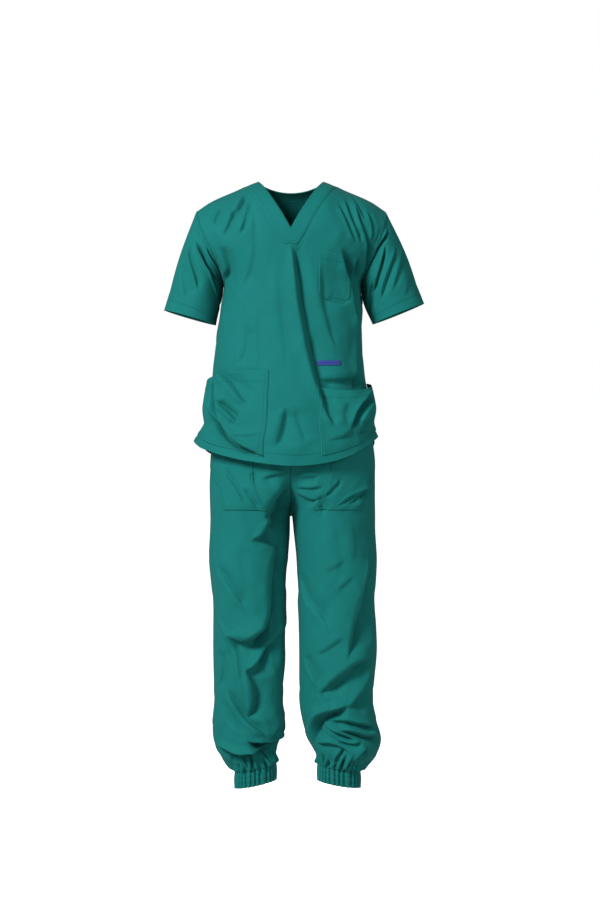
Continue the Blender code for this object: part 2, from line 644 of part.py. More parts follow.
def leg_point(name, side, turned, z, folds=True):
    """Point of a leg: turned from 0 at the side seam to 1 at the inner edge."""
    section = read_table(LEG[name], z)
    turn = math.radians(min(section["turn"], FULL_TURN))
    sign = -1.0 if name == "left" else 1.0
    angle = turn * turned
    radius = (section["outer"] - section["inner"]) / (1.0 - math.cos(turn))
    x = sign * (section["outer"] - radius + radius * math.cos(angle))
    depth = section[side] * math.sin(angle)
    facing = -1.0 if side == "front" else 1.0
    above_foot = z - LEG_FOOT
    gather = smooth_step(1.0 - above_foot / LEG_GATHERS["reach"])
    wave = math.cos(LEG_GATHERS["waves"] * angle + facing * LEG_GATHERS["shift"])
    swing = LEG_GATHERS["depth"] * gather * wave * smooth_step(math.sin(angle) / LEG_GATHERS["side"])
    if folds:
        swing -= fold_depth(LEG_FOLDS[side][name], x, z) * smooth_step(math.sin(angle) / LEG_FOLD_SIDE)
    outward = Vector((sign * math.cos(angle), facing * math.sin(angle), 0.0))
    cuff = CUFFS[name]
    tip = cuff["tilt"] * (x - cuff["middle"][0]) * smooth_step(1.0 - above_foot / LEG_TIP_REACH)
    base = Vector((x, section["middle"] + facing * (depth + SEAM_GAP / 2), z + tip))
    return base + outward * swing


def leg_heights():
    """Heights of the rows of points from the cuff up: closer at the crotch and above the cuff."""
    heights = [LEG_TOP]
    for foot, rows in LEG_STRETCHES[1:]:
        heights += spread(heights[-1], foot, rows)
    return heights[::-1]


def make_legs():
    heights = leg_heights()
    for name in LEG:
        for side, count in LEG_COLUMNS_ROUND.items():
            turns = [i / count for i in range(count + 1)]
            grid = [[leg_point(name, side, turned, z) for turned in turns] for z in heights]
            title = "leg_" + side + "_" + name
            panels[title] = (grid, turns, heights)
            if (name == "left") != (side == "front"):
                grid = [row[::-1] for row in grid]
            cloth_piece(title, grid, cloth_material("green_" + title, GREEN))


def make_waistband():
    top, bottom = WAISTBAND["top"], WAISTBAND["bottom"]
    count = WAISTBAND_SIDES
    grid = []
    for z in (bottom, (top + bottom) / 2, top):
        row = []
        for i in range(count + 1):
            angle = 2.0 * math.pi * (i % count) / count
            name = "left" if math.cos(angle) < 0.0 else "right"
            section = read_table(LEG[name], bottom)
            depth = section["front" if math.sin(angle) < 0.0 else "back"]
            row.append(Vector((section["outer"] * math.cos(angle), depth * math.sin(angle), z)))
        grid.append(row)
    cloth_piece("waistband", grid, cloth_material("green_waistband", GREEN), closed=True)


def make_side_pockets():
    """Patches on the front of the thighs with a slanting mouth at the side seam."""
    size = SIDE_POCKETS
    for name in LEG:
        sign = -1.0 if name == "left" else 1.0
        panel = panels["leg_front_" + name]
        heights = panel[2]
        grid = []
        for z in patch_lines(heights, size["bottom"], size["top"]):
            slant = smooth_step((size["mouth_top"] - z) / size["mouth_height"])
            outer = size["mouth"] + (size["foot"] - size["mouth"]) * slant
            row = []
            for turned in [outer] + spread(outer, size["inner"], SIDE_POCKET_COLUMNS):
                normal = surface_normal(lambda a, b: leg_point(name, "front", a, b, folds=False),
                                        turned, z) * -sign
                gape = size["gape"] * (SIDE_POCKETS["even"] - turned)
                row.append(grid_point(panel, turned, z) + normal * (LAY_LIFT + LAY_EASE + gape))
            grid.append(row if sign < 0 else row[::-1])
        cloth_piece("side_pocket_" + name, grid, cloth_material("green_side_pocket_" + name, GREEN))


def make_cuffs():
    """Elastic cuffs drawn into even ribs, tipped with the ankle."""
    count = CUFF_RIBS * POINTS_PER_RIB
    for name, size in CUFFS.items():
        centre_x, centre_y = size["middle"]
        grid = []
        for drop in CUFF_DROPS:
            row = []
            for i in range(count + 1):
                angle = 2.0 * math.pi * (i % count) / count
                swell = CUFF_SWELL * math.sin(math.pi * drop)
                ripple = CUFF_RIB_DEPTH * math.cos(CUFF_RIBS * angle) + swell
                x = centre_x + (size["half_width"] + ripple) * math.cos(angle)
                y = centre_y + (size["half_depth"] + ripple) * math.sin(angle)
                z = LEG_FOOT - SEAM_GAP - WALL / 2 - CUFF_HEIGHT * drop + size["tilt"] * (x - centre_x)
                row.append(Vector((x, y, z)))
            grid.append(row)
        cloth_piece("cuff_" + name, grid, cloth_material("green_cuff_" + name, GREEN), closed=True)


for old in list(bpy.data.objects):
    bpy.data.objects.remove(old, do_unlink=True)
suit = bpy.data.collections.new("scrub_suit")
panels = {}      # points of each panel, for what lies on it
bpy.context.scene.collection.children.link(suit)

make_torso_panels()
make_sleeves()
make_neck_band()
make_chest_pocket()
make_hip_pockets()
make_label()
make_legs()
make_waistband()
make_side_pockets()
make_cuffs()
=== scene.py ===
import math

import bmesh
import bpy
import numpy as np
from mathutils import Matrix, Vector


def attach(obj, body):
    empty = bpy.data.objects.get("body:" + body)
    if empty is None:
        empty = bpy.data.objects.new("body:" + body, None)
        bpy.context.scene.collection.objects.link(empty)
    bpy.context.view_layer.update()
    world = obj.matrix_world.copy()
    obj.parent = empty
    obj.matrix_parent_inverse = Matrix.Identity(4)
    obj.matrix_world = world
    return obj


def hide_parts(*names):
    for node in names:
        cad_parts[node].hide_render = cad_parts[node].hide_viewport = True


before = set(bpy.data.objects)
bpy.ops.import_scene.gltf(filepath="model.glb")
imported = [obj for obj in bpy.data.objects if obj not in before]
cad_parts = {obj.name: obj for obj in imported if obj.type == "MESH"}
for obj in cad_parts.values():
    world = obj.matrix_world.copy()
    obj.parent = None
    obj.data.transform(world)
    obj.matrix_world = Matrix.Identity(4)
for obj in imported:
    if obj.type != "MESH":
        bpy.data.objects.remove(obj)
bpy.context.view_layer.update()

body = "root"
millimetre = 0.001
sides, names = ("front", "back"), ("left", "right")     # left and right as the camera sees them
facing = {"front": -1.0, "back": 1.0}                   # along y

studio = {
    "camera": (0.0204, -5.4, -0.608), "lens": 95.15, "sensor": 36.0, "farthest": 500.0,
    "floorHeight": -1.5345, "floorSize": 400.0, "floorColour": (0.60, 0.60, 0.60, 1.0), "floorRoughness": 0.7,
    "skyStrength": 1.0, "fillStrength": 0.19, "floorGlow": (0.04, 1.0), "white": (1.0, 1.0, 1.0, 1.0),
    "keyPlace": (-3.1, -3.7, 2.1), "keySize": 1.5, "keyPower": 620.0,
    "sidePlace": (3.3, -2.6, 1.1), "sideSize": 2.0, "sidePower": 100,
    "aim": (0.0, 0.0, -0.65),
}


def addObject(name, data):
    made = bpy.data.objects.new(name, data)
    bpy.context.scene.collection.objects.link(made)
    return made


def areaLight(kind):
    lamp = bpy.data.lights.new(kind + "Light", "AREA")
    lamp.size = studio[kind + "Size"]
    lamp.energy = studio[kind + "Power"]
    holder = addObject(kind + "Light", lamp)
    holder.location = studio[kind + "Place"]
    towards = Vector(studio["aim"]) - holder.location
    holder.rotation_euler = towards.to_track_quat("-Z", "Y").to_euler()


# a new node; its inputs are constants or other nodes' sockets
def node(tree, kind, inputs, **settings):
    made = tree.nodes.new(kind)
    for key, value in settings.items():
        setattr(made, key, value)
    return fill(tree, made, inputs)


def fill(tree, made, inputs):
    for key, value in inputs.items():
        if isinstance(value, bpy.types.NodeSocket):
            tree.links.new(value, made.inputs[key])
        else:
            made.inputs[key].default_value = value
    return made


# the white backdrop is lit on its own, so what it gives and what it shows differ
def shownGlow(tree, given, shown):
    path = node(tree, "ShaderNodeLightPath", {})
    seen = path.outputs["Is Camera Ray"]
    return node(tree, "ShaderNodeMapRange", {"To Min": given, "To Max": shown, "Value": seen}).outputs["Result"]


def buildStudio():
    cameraData = bpy.data.cameras.new("photoCamera")
    cameraData.lens = studio["lens"]
    cameraData.sensor_width = studio["sensor"]
    cameraData.clip_end = studio["farthest"]
    camera = addObject("photoCamera", cameraData)
    camera.location = studio["camera"]
    camera.rotation_euler = (math.pi / 2, 0.0, 0.0)
    bpy.context.scene.camera = camera
    bpy.context.scene.view_settings.view_transform = "Standard"

    sky = bpy.data.worlds.new("whiteStudio")
    sky.use_nodes = True
    tree = sky.node_tree
    glow = shownGlow(tree, studio["fillStrength"], studio["skyStrength"])
    fill(tree, tree.nodes["Background"], {"Color": studio["white"], "Strength": glow})
    bpy.context.scene.world = sky

    bm = bmesh.new()
    bmesh.ops.create_grid(bm, x_segments=2, y_segments=2, size=studio["floorSize"] / 2)
    bmesh.ops.translate(bm, verts=bm.verts, vec=(0.0, 0.0, studio["floorHeight"]))
    mesh = bpy.data.meshes.new("floor")
    bm.to_mesh(mesh)
    bm.free()
    paint = bpy.data.materials.new("palePaint")
    paint.use_nodes = True
    tree = paint.node_tree
    fill(tree, tree.nodes["Principled BSDF"], {
        "Base Color": studio["floorColour"], "Roughness": studio["floorRoughness"],
        "Emission Color": studio["white"], "Emission Strength": shownGlow(tree, *studio["floorGlow"])})
    mesh.materials.append(paint)
    addObject("floor", mesh)
    areaLight("key")
    areaLight("side")


# the paler edge colour and its share are partly edge wear, partly a painted highlight along seams and hems
clothLook = {
    "colour": (0.0026, 0.0855, 0.0785, 1.0), "worn": (0.008, 0.115, 0.109, 1.0), "wornShare": 0.10,
    "roughness": (0.74, 0.88), "thread": 0.00045, "bump": 0.00007, "bumpStrength": 0.6,
    "slub": 0.07, "slubScale": (900.0, 60.0, 1.0), "driftScale": 9.0, "toneRange": (0.6, 1.4),
    "sheen": 0.02, "sheenRoughness": 0.40, "gloss": 0.07,
}


# plain weave on the sheet's own UV map, which is in metres of cloth
def weaveMaterial(name, **changes):
    look = dict(clothLook, **changes)
    material = bpy.data.materials.new(name)
    material.use_nodes = True
    tree = material.node_tree
    uv = node(tree, "ShaderNodeUVMap", {}, uv_map="cloth").outputs["UV"]

    def maths(operation, first, second):
        return node(tree, "ShaderNodeMath", {0: first, 1: second}, operation=operation).outputs["Value"]

    # warp and weft as two crossed wave textures
    scale = math.pi / (10.0 * look["thread"] * 2.0)
    warp, weft = [node(tree, "ShaderNodeTexWave", {"Scale": scale, "Distortion": 0.0, "Vector": uv},
                       wave_type="BANDS", bands_direction=direction).outputs["Fac"] for direction in "XY"]
    # slubs run along the threads, tone drifts over a hand's width
    stretch = node(tree, "ShaderNodeMapping", {"Scale": look["slubScale"], "Vector": uv}).outputs["Vector"]
    slub = node(tree, "ShaderNodeTexNoise", {"Scale": 1.0, "Detail": 3.0, "Vector": stretch}).outputs["Fac"]
    drift = node(tree, "ShaderNodeTexNoise", {"Scale": look["driftScale"], "Detail": 2.0, "Vector": uv})
    tone = node(tree, "ShaderNodeMapRange", {
        "From Min": look["toneRange"][0], "From Max": look["toneRange"][1], "To Min": 1.0 - look["slub"],
        "To Max": 1.0 + look["slub"], "Value": maths("ADD", slub, drift.outputs["Fac"])})
    # cloth turned over at an edge is painted paler: partly edge wear, partly a painted highlight where seams
    # and hems catch the light
    edge = node(tree, "ShaderNodeAttribute", {}, attribute_name="edge").outputs["Fac"]
    share = maths("MULTIPLY", edge, look["wornShare"])
    worn = node(tree, "ShaderNodeMix",
                {"A": look["colour"], "B": look["worn"], "Factor": share}, data_type="RGBA")
    dyed = node(tree, "ShaderNodeVectorMath",
                {"Vector": worn.outputs["Result"], "Scale": tone.outputs["Result"]}, operation="SCALE")
    rough = node(tree, "ShaderNodeMapRange",
                 {"To Min": look["roughness"][0], "To Max": look["roughness"][1], "Value": slub})
    relief = maths("ADD", maths("MULTIPLY", warp, weft), slub)
    bump = node(tree, "ShaderNodeBump",
                {"Strength": look["bumpStrength"], "Distance": look["bump"], "Height": relief})
    fill(tree, tree.nodes["Principled BSDF"], {
        "Base Color": dyed.outputs["Vector"], "Roughness": rough.outputs["Result"],
        "Normal": bump.outputs["Normal"], "Specular IOR Level": look["gloss"],
        "Sheen Weight": look["sheen"], "Sheen Roughness": look["sheenRoughness"]})
    return material


cloth = weaveMaterial("greenPoplin")
# the ribbon's paler edge colour is partly edge wear, partly a painted highlight along its edges
ribbon = weaveMaterial("blueRibbon", colour=(0.014, 0.025, 0.130, 1.0), worn=(0.06, 0.065, 0.20, 1.0),
                       thread=0.0003, roughness=(0.45, 0.60), sheen=0.10)
thread = weaveMaterial("greenThread", colour=(0.0035, 0.0885, 0.0815, 1.0), slub=0.05)

# the cut of the suit, in metres and degrees; each row of numbers goes with the heights in "z"
wallThickness = 0.0011
seamGap = 0.0003
topSizes = {
    "roll": {"front": 0.130, "back": 0.120}, "fullness": 0.86, "armpitRow": 0.677, "armholeBend": 1.6,
    "vent": {"top": -0.545, "height": 0.050, "left": 0.024, "right": 0.012},
    "z": [-0.068, -0.110, -0.160, -0.200, -0.234, -0.290, -0.345, -0.400, -0.450, -0.500, -0.560, -0.600,
          -0.650],
    "left": [0.215, 0.205, 0.181, 0.163, 0.153, 0.160, 0.168, 0.174, 0.180, 0.188, 0.195, 0.199, 0.200],
    "right": [0.215, 0.206, 0.184, 0.169, 0.159, 0.163, 0.161, 0.164, 0.169, 0.179, 0.188, 0.190, 0.190],
    "front": [0.135, 0.135, 0.134, 0.133, 0.133, 0.132, 0.132, 0.134, 0.139, 0.143, 0.146, 0.147, 0.146],
    "back": [0.120, 0.122, 0.124, 0.124, 0.122, 0.116, 0.110, 0.110, 0.117, 0.128, 0.1396, 0.1430, 0.1445],
    "turn": [62.0, 60.0, 63.0, 74.0] + [90.0] * 9,
    "ridge": [(0.000, 0.000), (0.074, 0.000), (0.125, -0.021), (0.180, -0.045), (0.215, -0.068)],
    "neckPoint": 0.074, "bandPoint": 0.103,
    "frontNeck": [(0.000, -0.115), (0.017, -0.084), (0.035, -0.0545), (0.055, -0.024), (0.074, 0.000)],
    "frontBand": [(0.000, -0.146), (0.0155, -0.145), (0.042, -0.101), (0.060, -0.069), (0.082, -0.036),
                  (0.103, -0.012)],
    "backNeckDrop": 0.018, "backBandDrop": 0.034,
    "hem": {
        "front": [(-1.00, -0.586), (-0.86, -0.592), (-0.70, -0.604), (-0.48, -0.620), (-0.29, -0.632),
                  (0.00, -0.643), (0.25, -0.637), (0.45, -0.621), (0.70, -0.592), (0.86, -0.581),
                  (1.00, -0.577)],
        "back": [(-1.00, -0.600), (-0.50, -0.632), (0.00, -0.645), (0.50, -0.630), (1.00, -0.592)],
    },
    "flatArea": {"front": 0.30, "back": 0.31},
    "grid": {"front": (190, 145, 88), "back": (114, 87, 52)},     # across, below and above the armpit
    "hemDeep": 0.024, "seamInset": 0.006, "seamOff": 0.002, "high": 0.6,
}
quarter = 0.235     # cloth from the middle of the front to a side seam
sleeveSizes = {
    "left": {"sign": -1.0, "outer": (-0.288, -0.291), "inner": (-0.1700, -0.325), "deep": 0.063,
             "swell": 0.005, "innerSwell": 0.0008},
    "right": {"sign": 1.0, "outer": (0.302, -0.276), "inner": (0.1848, -0.323), "deep": 0.063,
              "swell": 0.006, "innerSwell": 0.0058},
    "lap": 0.004, "lapLift": 0.0008, "wall": 0.0008, "halfRound": 0.19, "length": 0.215,
    "columns": 154, "rows": 80, "hemDeep": 0.024,
}
bothLegs = {
    "turn": [90.0, 90.0, 90.0, 90.0, 93.0, 106.0, 138.0, 168.0] + [179.5] * 10,
    "middle": [0.0] * 7 + [0.001, 0.002, 0.003, 0.004, 0.006, 0.010, 0.012, 0.013, 0.014, 0.014, 0.014],
}
legZ = [-0.460, -0.500, -0.560, -0.600, -0.640, -0.680, -0.715, -0.745, -0.790, -0.860, -0.950, -1.062, -1.176]
legInner = [0.0003, 0.0003, 0.0003, 0.0003, 0.0003, 0.0004, 0.0006, 0.0012]
legFront = [0.108, 0.112, 0.118, 0.120, 0.120, 0.116, 0.110, 0.105, 0.101, 0.096, 0.090, 0.086, 0.080, 0.080]
legBack = [0.104, 0.115, 0.136, 0.140, 0.140, 0.135, 0.127, 0.119, 0.111, 0.102, 0.094, 0.088, 0.084, 0.086]
legSizes = {
    "left": {
        **bothLegs, "sign": -1.0, "seed": 23, "z": legZ + [-1.240, -1.275, -1.298, -1.316, -1.330],
        "outer": [0.160, 0.165, 0.174, 0.179, 0.182, 0.184, 0.184, 0.184, 0.184, 0.186, 0.178, 0.177,
                  0.175, 0.179, 0.171, 0.151, 0.134, 0.1265],
        "inner": legInner + [0.0026, 0.0068, 0.0092, 0.0112, 0.0180, 0.0108, 0.0260, 0.0325, 0.0345, 0.0350],
        "front": legFront + [0.076, 0.068, 0.058, 0.050],
        "back": legBack + [0.081, 0.072, 0.059, 0.050],
        "cuff": {"middle": (-0.08075, 0.014), "halfWidth": 0.0450, "halfDepth": 0.0490, "tilt": 0.21},
    },
    "right": {
        **bothLegs, "sign": 1.0, "seed": 31, "z": legZ + [-1.225, -1.262, -1.290, -1.312, -1.330],
        "outer": [0.160, 0.168, 0.180, 0.186, 0.190, 0.191, 0.191, 0.191, 0.191, 0.195, 0.191, 0.195,
                  0.187, 0.196, 0.205, 0.194, 0.169, 0.156],
        "inner": legInner + [0.0055, 0.0125, 0.0159, 0.0182, 0.0190, 0.0260, 0.0360, 0.0500, 0.0600, 0.0620],
        "front": legFront + [0.080, 0.072, 0.060, 0.050],
        "back": legBack + [0.084, 0.074, 0.060, 0.050],
        "cuff": {"middle": (0.1090, 0.014), "halfWidth": 0.0465, "halfDepth": 0.0490, "tilt": -0.17},
    },
}
legCut = {
    "top": -0.4608, "topRows": -0.60, "footRows": 0.11, "foot": -1.3300, "crotch": -0.775, "halfRound": 0.29,
    "tipReach": 0.10, "columns": {"front": 112, "back": 74},
    "rows": {"front": (60, 210, 30), "back": (36, 126, 18)},      # near the cuff, on the leg, under the top
    "gatherReach": 0.046, "gatherDeep": 0.0060, "ribReach": 0.016, "wide": 0.28, "axis": 0.095,
    "seamOff": 0.001,
}
cuffSizes = {
    "height": 0.036, "tuck": 0.0016, "tuckReach": 0.05, "ribs": 27, "ribDeep": 0.0026, "channels": 3,
    "puff": 0.0004, "swell": 0.0015, "ruffle": 0.0013, "radius": 0.052, "columns": 289, "rows": 37,
}


def smoothStep(value):
    value = np.clip(value, 0.0, 1.0)
    return value * value * (3.0 - 2.0 * value)


# smooth line through given points, read at any values of the first column
def readLine(xs, ys, at):
    xs, ys = np.array(xs, float), np.array(ys, float)
    if xs[0] > xs[-1]:
        xs, ys = xs[::-1], ys[::-1]
    slopes = np.empty_like(ys)
    slopes[1:-1] = (ys[2:] - ys[:-2]) / (xs[2:] - xs[:-2])
    slopes[0] = (ys[1] - ys[0]) / (xs[1] - xs[0])
    slopes[-1] = (ys[-1] - ys[-2]) / (xs[-1] - xs[-2])
    at = np.clip(at, xs[0], xs[-1])
    k = np.clip(np.searchsorted(xs, at, side="right") - 1, 0, len(xs) - 2)
    span = xs[k + 1] - xs[k]
    t = (at - xs[k]) / span
    return ((2 * t ** 3 - 3 * t ** 2 + 1) * ys[k] + (t ** 3 - 2 * t ** 2 + t) * slopes[k] * span
            + (3 * t ** 2 - 2 * t ** 3) * ys[k + 1] + (t ** 3 - t ** 2) * slopes[k + 1] * span)


def readPairs(pairs, at):
    return readLine([p[0] for p in pairs], [p[1] for p in pairs], at)


def readRow(size, row, z):
    return readLine(size["z"], size[row], z)


def stack(*parts):
    return np.stack(np.broadcast_arrays(*parts), axis=-1)


# distance along a line of points, from its start
def runLength(points):
    return np.concatenate([[0.0], np.cumsum(np.linalg.norm(np.diff(points, axis=0), axis=1))])


# The top bare of folds. A place on a panel is across, -1 to 1 from side seam to side seam, and up, 0 to 1
# from the hem to the neck or shoulder.
def torsoEdge(side, z, across):
    left = across < 0.0
    edge = np.where(left, readRow(topSizes, "left", z), readRow(topSizes, "right", z))
    if side == "front":
        vent = topSizes["vent"]
        flare = np.where(left, vent["left"], vent["right"])
        edge = edge + flare * smoothStep((vent["top"] - z) / vent["height"])
    return edge, np.radians(readRow(topSizes, "turn", z))


def ridgeHeight(x):
    return readPairs(topSizes["ridge"], np.abs(x))


def torsoDepth(side, x, z, angle):
    roll = np.clip((ridgeHeight(x) - z) / topSizes["roll"][side], 0.0, 1.0)
    return (readRow(topSizes, side, z) * np.maximum(np.cos(angle), 0.0) ** topSizes["fullness"]
            * np.sqrt(1.0 - (1.0 - roll) ** 2))


def bandHeight(side, x):
    if side == "front":
        return readPairs(topSizes["frontBand"], np.abs(x))
    drop = topSizes["backBandDrop"]
    return -drop + (ridgeHeight(topSizes["bandPoint"]) + drop) * (x / topSizes["bandPoint"]) ** 2


def neckHeight(side, x):
    if side == "front":
        return readPairs(topSizes["frontNeck"], np.abs(x))
    return -topSizes["backNeckDrop"] * (1.0 - (x / topSizes["neckPoint"]) ** 2)


shoulderEdge, shoulderTurn = topSizes["left"][0], math.radians(topSizes["turn"][0])


def shoulderShare(x):
    return np.arcsin(x * math.sin(shoulderTurn) / shoulderEdge) / shoulderTurn


def topEdge(side, across):
    x = np.sign(across) * shoulderEdge * np.sin(np.abs(across) * shoulderTurn) / math.sin(shoulderTurn)
    return np.where(np.abs(x) < topSizes["bandPoint"], bandHeight(side, x), ridgeHeight(x))


def hemHeight(side, across):
    return readPairs(topSizes["hem"][side], across)


def panelHeight(side, across):
    return topEdge(side, across) - hemHeight(side, across)


def torsoBare(side, across, up):
    z = hemHeight(side, across) + panelHeight(side, across) * up
    edge, turn = torsoEdge(side, z, across)
    angle = np.abs(across) * turn
    x = np.sign(across) * edge * np.sin(angle) / np.sin(turn)
    return stack(x, facing[side] * (torsoDepth(side, x, z, angle) + seamGap / 2), z)


# where on the panel a place seen from the front is
def torsoShare(x, z):
    edge, turn = torsoEdge("front", z, x)
    across = np.sign(x) * np.arcsin(np.clip(np.abs(x) * np.sin(turn) / edge, 0.0, 1.0)) / turn
    return across, (z - hemHeight("front", across)) / panelHeight("front", across)


# height on the panel of a share of the armhole, 0 at the shoulder and 1 at the armpit
def armholeRise(share):
    low = topSizes["armpitRow"]
    return low + (1.0 - low) * (1.0 - np.clip(share, 0.0, 1.0) ** topSizes["armholeBend"])


# sleeve: shares 0 to 1 run down the front of the armhole to the armpit, 1 to 2 up the back
def sleeveBare(name, share, down):
    size = sleeveSizes[name]
    share = np.mod(share, 2.0)
    across = np.full_like(share, size["sign"])
    start = np.where((share <= 1.0)[..., None], torsoBare("front", across, armholeRise(share)),
                     torsoBare("back", across, armholeRise(2.0 - share)))
    angle = math.pi * share
    outer, inner = size["outer"], size["inner"]
    middleX, middleZ = (outer[0] + inner[0]) / 2, (outer[1] + inner[1]) / 2
    hem = stack(middleX + (outer[0] - inner[0]) / 2 * np.cos(angle), -size["deep"] * np.sin(angle),
                middleZ + (outer[1] - inner[1]) / 2 * np.cos(angle))
    point = start + (hem - start) * down[..., None]
    swell = size["swell"] * np.sin(math.pi * np.minimum(down * 1.25, 1.0)) * np.cos(angle / 2) ** 2
    swell = swell + size["innerSwell"] * np.sin(math.pi * down) * np.sin(angle / 2) ** 8
    radial = hem - np.array([middleX, 0.0, middleZ])
    radial /= np.linalg.norm(radial, axis=-1, keepdims=True)
    return point + radial * swell[..., None]


# leg: turned is 0 at the outer seam and 1 at the inner one
def legBare(name, side, turned, z):
    size = legSizes[name]
    outer, inner = readRow(size, "outer", z), readRow(size, "inner", z)
    turn = np.radians(np.minimum(readRow(size, "turn", z), 179.5))
    angle = turn * turned
    radius = (outer - inner) / (1.0 - np.cos(turn))
    x = size["sign"] * (outer - radius + radius * np.cos(angle))
    y = readRow(size, "middle", z) + facing[side] * (readRow(size, side, z) * np.sin(angle) + seamGap / 2)
    cuff = size["cuff"]
    tip = cuff["tilt"] * (x - cuff["middle"][0]) * smoothStep(1.0 - (z - legCut["foot"]) / legCut["tipReach"])
    return stack(x, y, z + tip)


def normalsOf(surface, u, v, ranges, step=0.004):
    uLow, uHigh, vLow, vHigh = ranges
    runU = surface(np.minimum(u + step, uHigh), v) - surface(np.maximum(u - step, uLow), v)
    runV = surface(u, np.minimum(v + step, vHigh)) - surface(u, np.maximum(v - step, vLow))
    normal = np.cross(runU, runV)
    return normal / np.maximum(np.linalg.norm(normal, axis=-1, keepdims=True), 1e-12)


# Each crease: depth of the valley, half width of the steep face, height of the brow, points (x, z), and where
# it is needed how far the line runs on before its start and past its end; all mm.
# Going down or to the left along the points, the brow is on the left hand. A point's third number is its own
# half width. A brow of -1 makes an even ditch, or a ridge where the depth is below 0.
# On side "round" a point is (share of the way round in hundredths, z).
topCreases = {
    "front": [
        (3.5, 2.7, 1.5, [(133, -34), (151, -65), (169, -98)]),
        (2.6, 2.6, 1.2, [(-71, 0), (-90, -25), (-106, -49), (-122, -78)]),
        (1.8, 3, 0.9, [(-97, -31), (-117, -60), (-135, -91), (-146, -127)]),
        (15, 8, 3, [(142, -271, 5), (149, -331, 8), (149, -404, 8), (142, -475, 6)]),
        (9, 5, 2, [(149, -176, 4), (147, -220, 5), (142, -271, 4)]),
        (10, 3.2, -1, [(-37, -632, 2.4), (-86, -617, 3.2), (-119, -601, 3.6), (-145, -577, 3.8),
            (-165, -546, 4), (-174, -511, 4), (-176, -467, 3)]),
        (5, 4.5, 4, [(-37, -630, 3), (-86, -612, 4), (-119, -595, 5), (-145, -570, 5), (-163, -540, 5),
            (-172, -506, 5), (-174, -471, 4)]),
        (10.5, 7, 4.5, [(-6, -102, 5), (0, -147, 6), (9, -204, 6.5), (19, -269, 7), (29, -337, 8.5),
            (43, -402, 9), (58, -457, 8), (74, -510, 6), (96, -564, 4)]),
        (15, 6, 4.5, [(111, -156, 4), (121, -191, 8), (130, -227, 10), (138, -262, 10), (143, -298, 8),
            (149, -333, 6), (156, -373, 4)]),
        (15, 7, 2.5, [(171, -142), (169, -187), (160, -231), (153, -275)]),
        (3.5, 3, 1.2, [(100, -51), (116, -82), (136, -127), (149, -149)]),
        (4.5, 3, 1.5, [(120, -38), (127, -71), (145, -116), (158, -151)]),
        (5.5, 3, 1.8, [(138, -51), (156, -102), (169, -142), (173, -178)]),
        (3.5, 2.8, 1.2, [(169, -67), (182, -111), (178, -149)]),
        (3.5, 2.7, 1.4, [(-102, -34), (-117, -65), (-144, -91)]),
        (4.2, 2.7, 1.6, [(-88, -43), (-97, -76), (-106, -109), (-117, -133)]),
        (3.2, 2.7, 1.3, [(-155, -58), (-170, -85), (-175, -107)]),
        (2.8, 2.7, 1.2, [(-128, -67), (-139, -98), (-153, -133)]),
        (6, 9, 2, [(-166, -156, 5), (-153, -178, 9), (-146, -209, 10), (-153, -240, 6)]),
        (2.6, 12, 0.8, [(-82, -63, 7), (-86, -142, 12), (-97, -213, 12), (-113, -267, 9)]),
        (3, 9, 0.8, [(-104, -331), (-106, -375), (-122, -422)]),
        (4.5, 10, 1, [(-173, -275, 5), (-166, -324, 10), (-170, -375, 9), (-175, -413, 6)]),
        (3, 11, 0.8, [(69, -191, 7), (67, -242, 10), (71, -289, 11), (87, -346, 9), (102, -391, 6)]),
        (2.4, 6, 0.8, [(80, -275), (109, -282), (131, -275)]),
        (7, 11, 1.5, [(158, -435, 8), (122, -446, 12), (87, -448, 11), (60, -448, 6)]),
        (6, 7, 2, [(-13, -510, 5), (-22, -553, 8), (-37, -606, 9)]),
        (3, 7, 0.8, [(0, -510), (14, -550), (29, -595)]),
        (1.4, 9, 0.5, [(-77, -275), (-77, -364), (-73, -444)]),
        (1.4, 10, 0.5, [(-33, -191), (-31, -275), (-22, -364), (-11, -444)]),
    ],
    "back": [
        (6, 9, 1.5, [(-60, -170), (-46, -300), (-22, -420), (-12, -540)]),
        (6, 9, 1.5, [(70, -160), (52, -290), (36, -400), (30, -530)]),
        (5, 8, 1.5, [(-128, -235), (-100, -330), (-82, -425)]),
        (5, 8, 1.5, [(130, -245), (104, -340), (86, -432)]),
        (4.5, 7, 1.2, [(-110, -428), (-40, -446), (58, -455), (104, -444)]),
        (3.5, 6, 1, [(-150, -470), (-96, -492), (-40, -500)]),
        (3.5, 6, 1, [(148, -455), (98, -478), (52, -484)]),
        (4, 6, 1.2, [(-166, -190), (-132, -235), (-96, -262)]),
        (4, 6, 1.2, [(168, -196), (128, -240), (90, -258)]),
        (3, 6, 0.8, [(-96, -70), (-112, -110), (-118, -150)]),
        (3, 6, 0.8, [(96, -72), (110, -108), (122, -146)]),
        (2.6, 9, 0.6, [(4, -120), (-6, -200), (2, -300)]),
    ],
    "round": [
        (5, 7, 1.5, [(-80, -300), (-98, -352), (-116, -392)]),
        (4, 7, 1.2, [(-84, -392), (-100, -432), (-112, -490)]),
        (5, 7, 1.5, [(82, -300), (99, -348), (116, -400)]),
        (4, 7, 1.2, [(86, -372), (102, -430), (110, -500)]),
        (3, 8, 0.8, [(104, -250), (112, -300), (108, -345)]),
        (3, 8, 0.8, [(-104, -255), (-114, -310), (-108, -350)]),
    ],
}
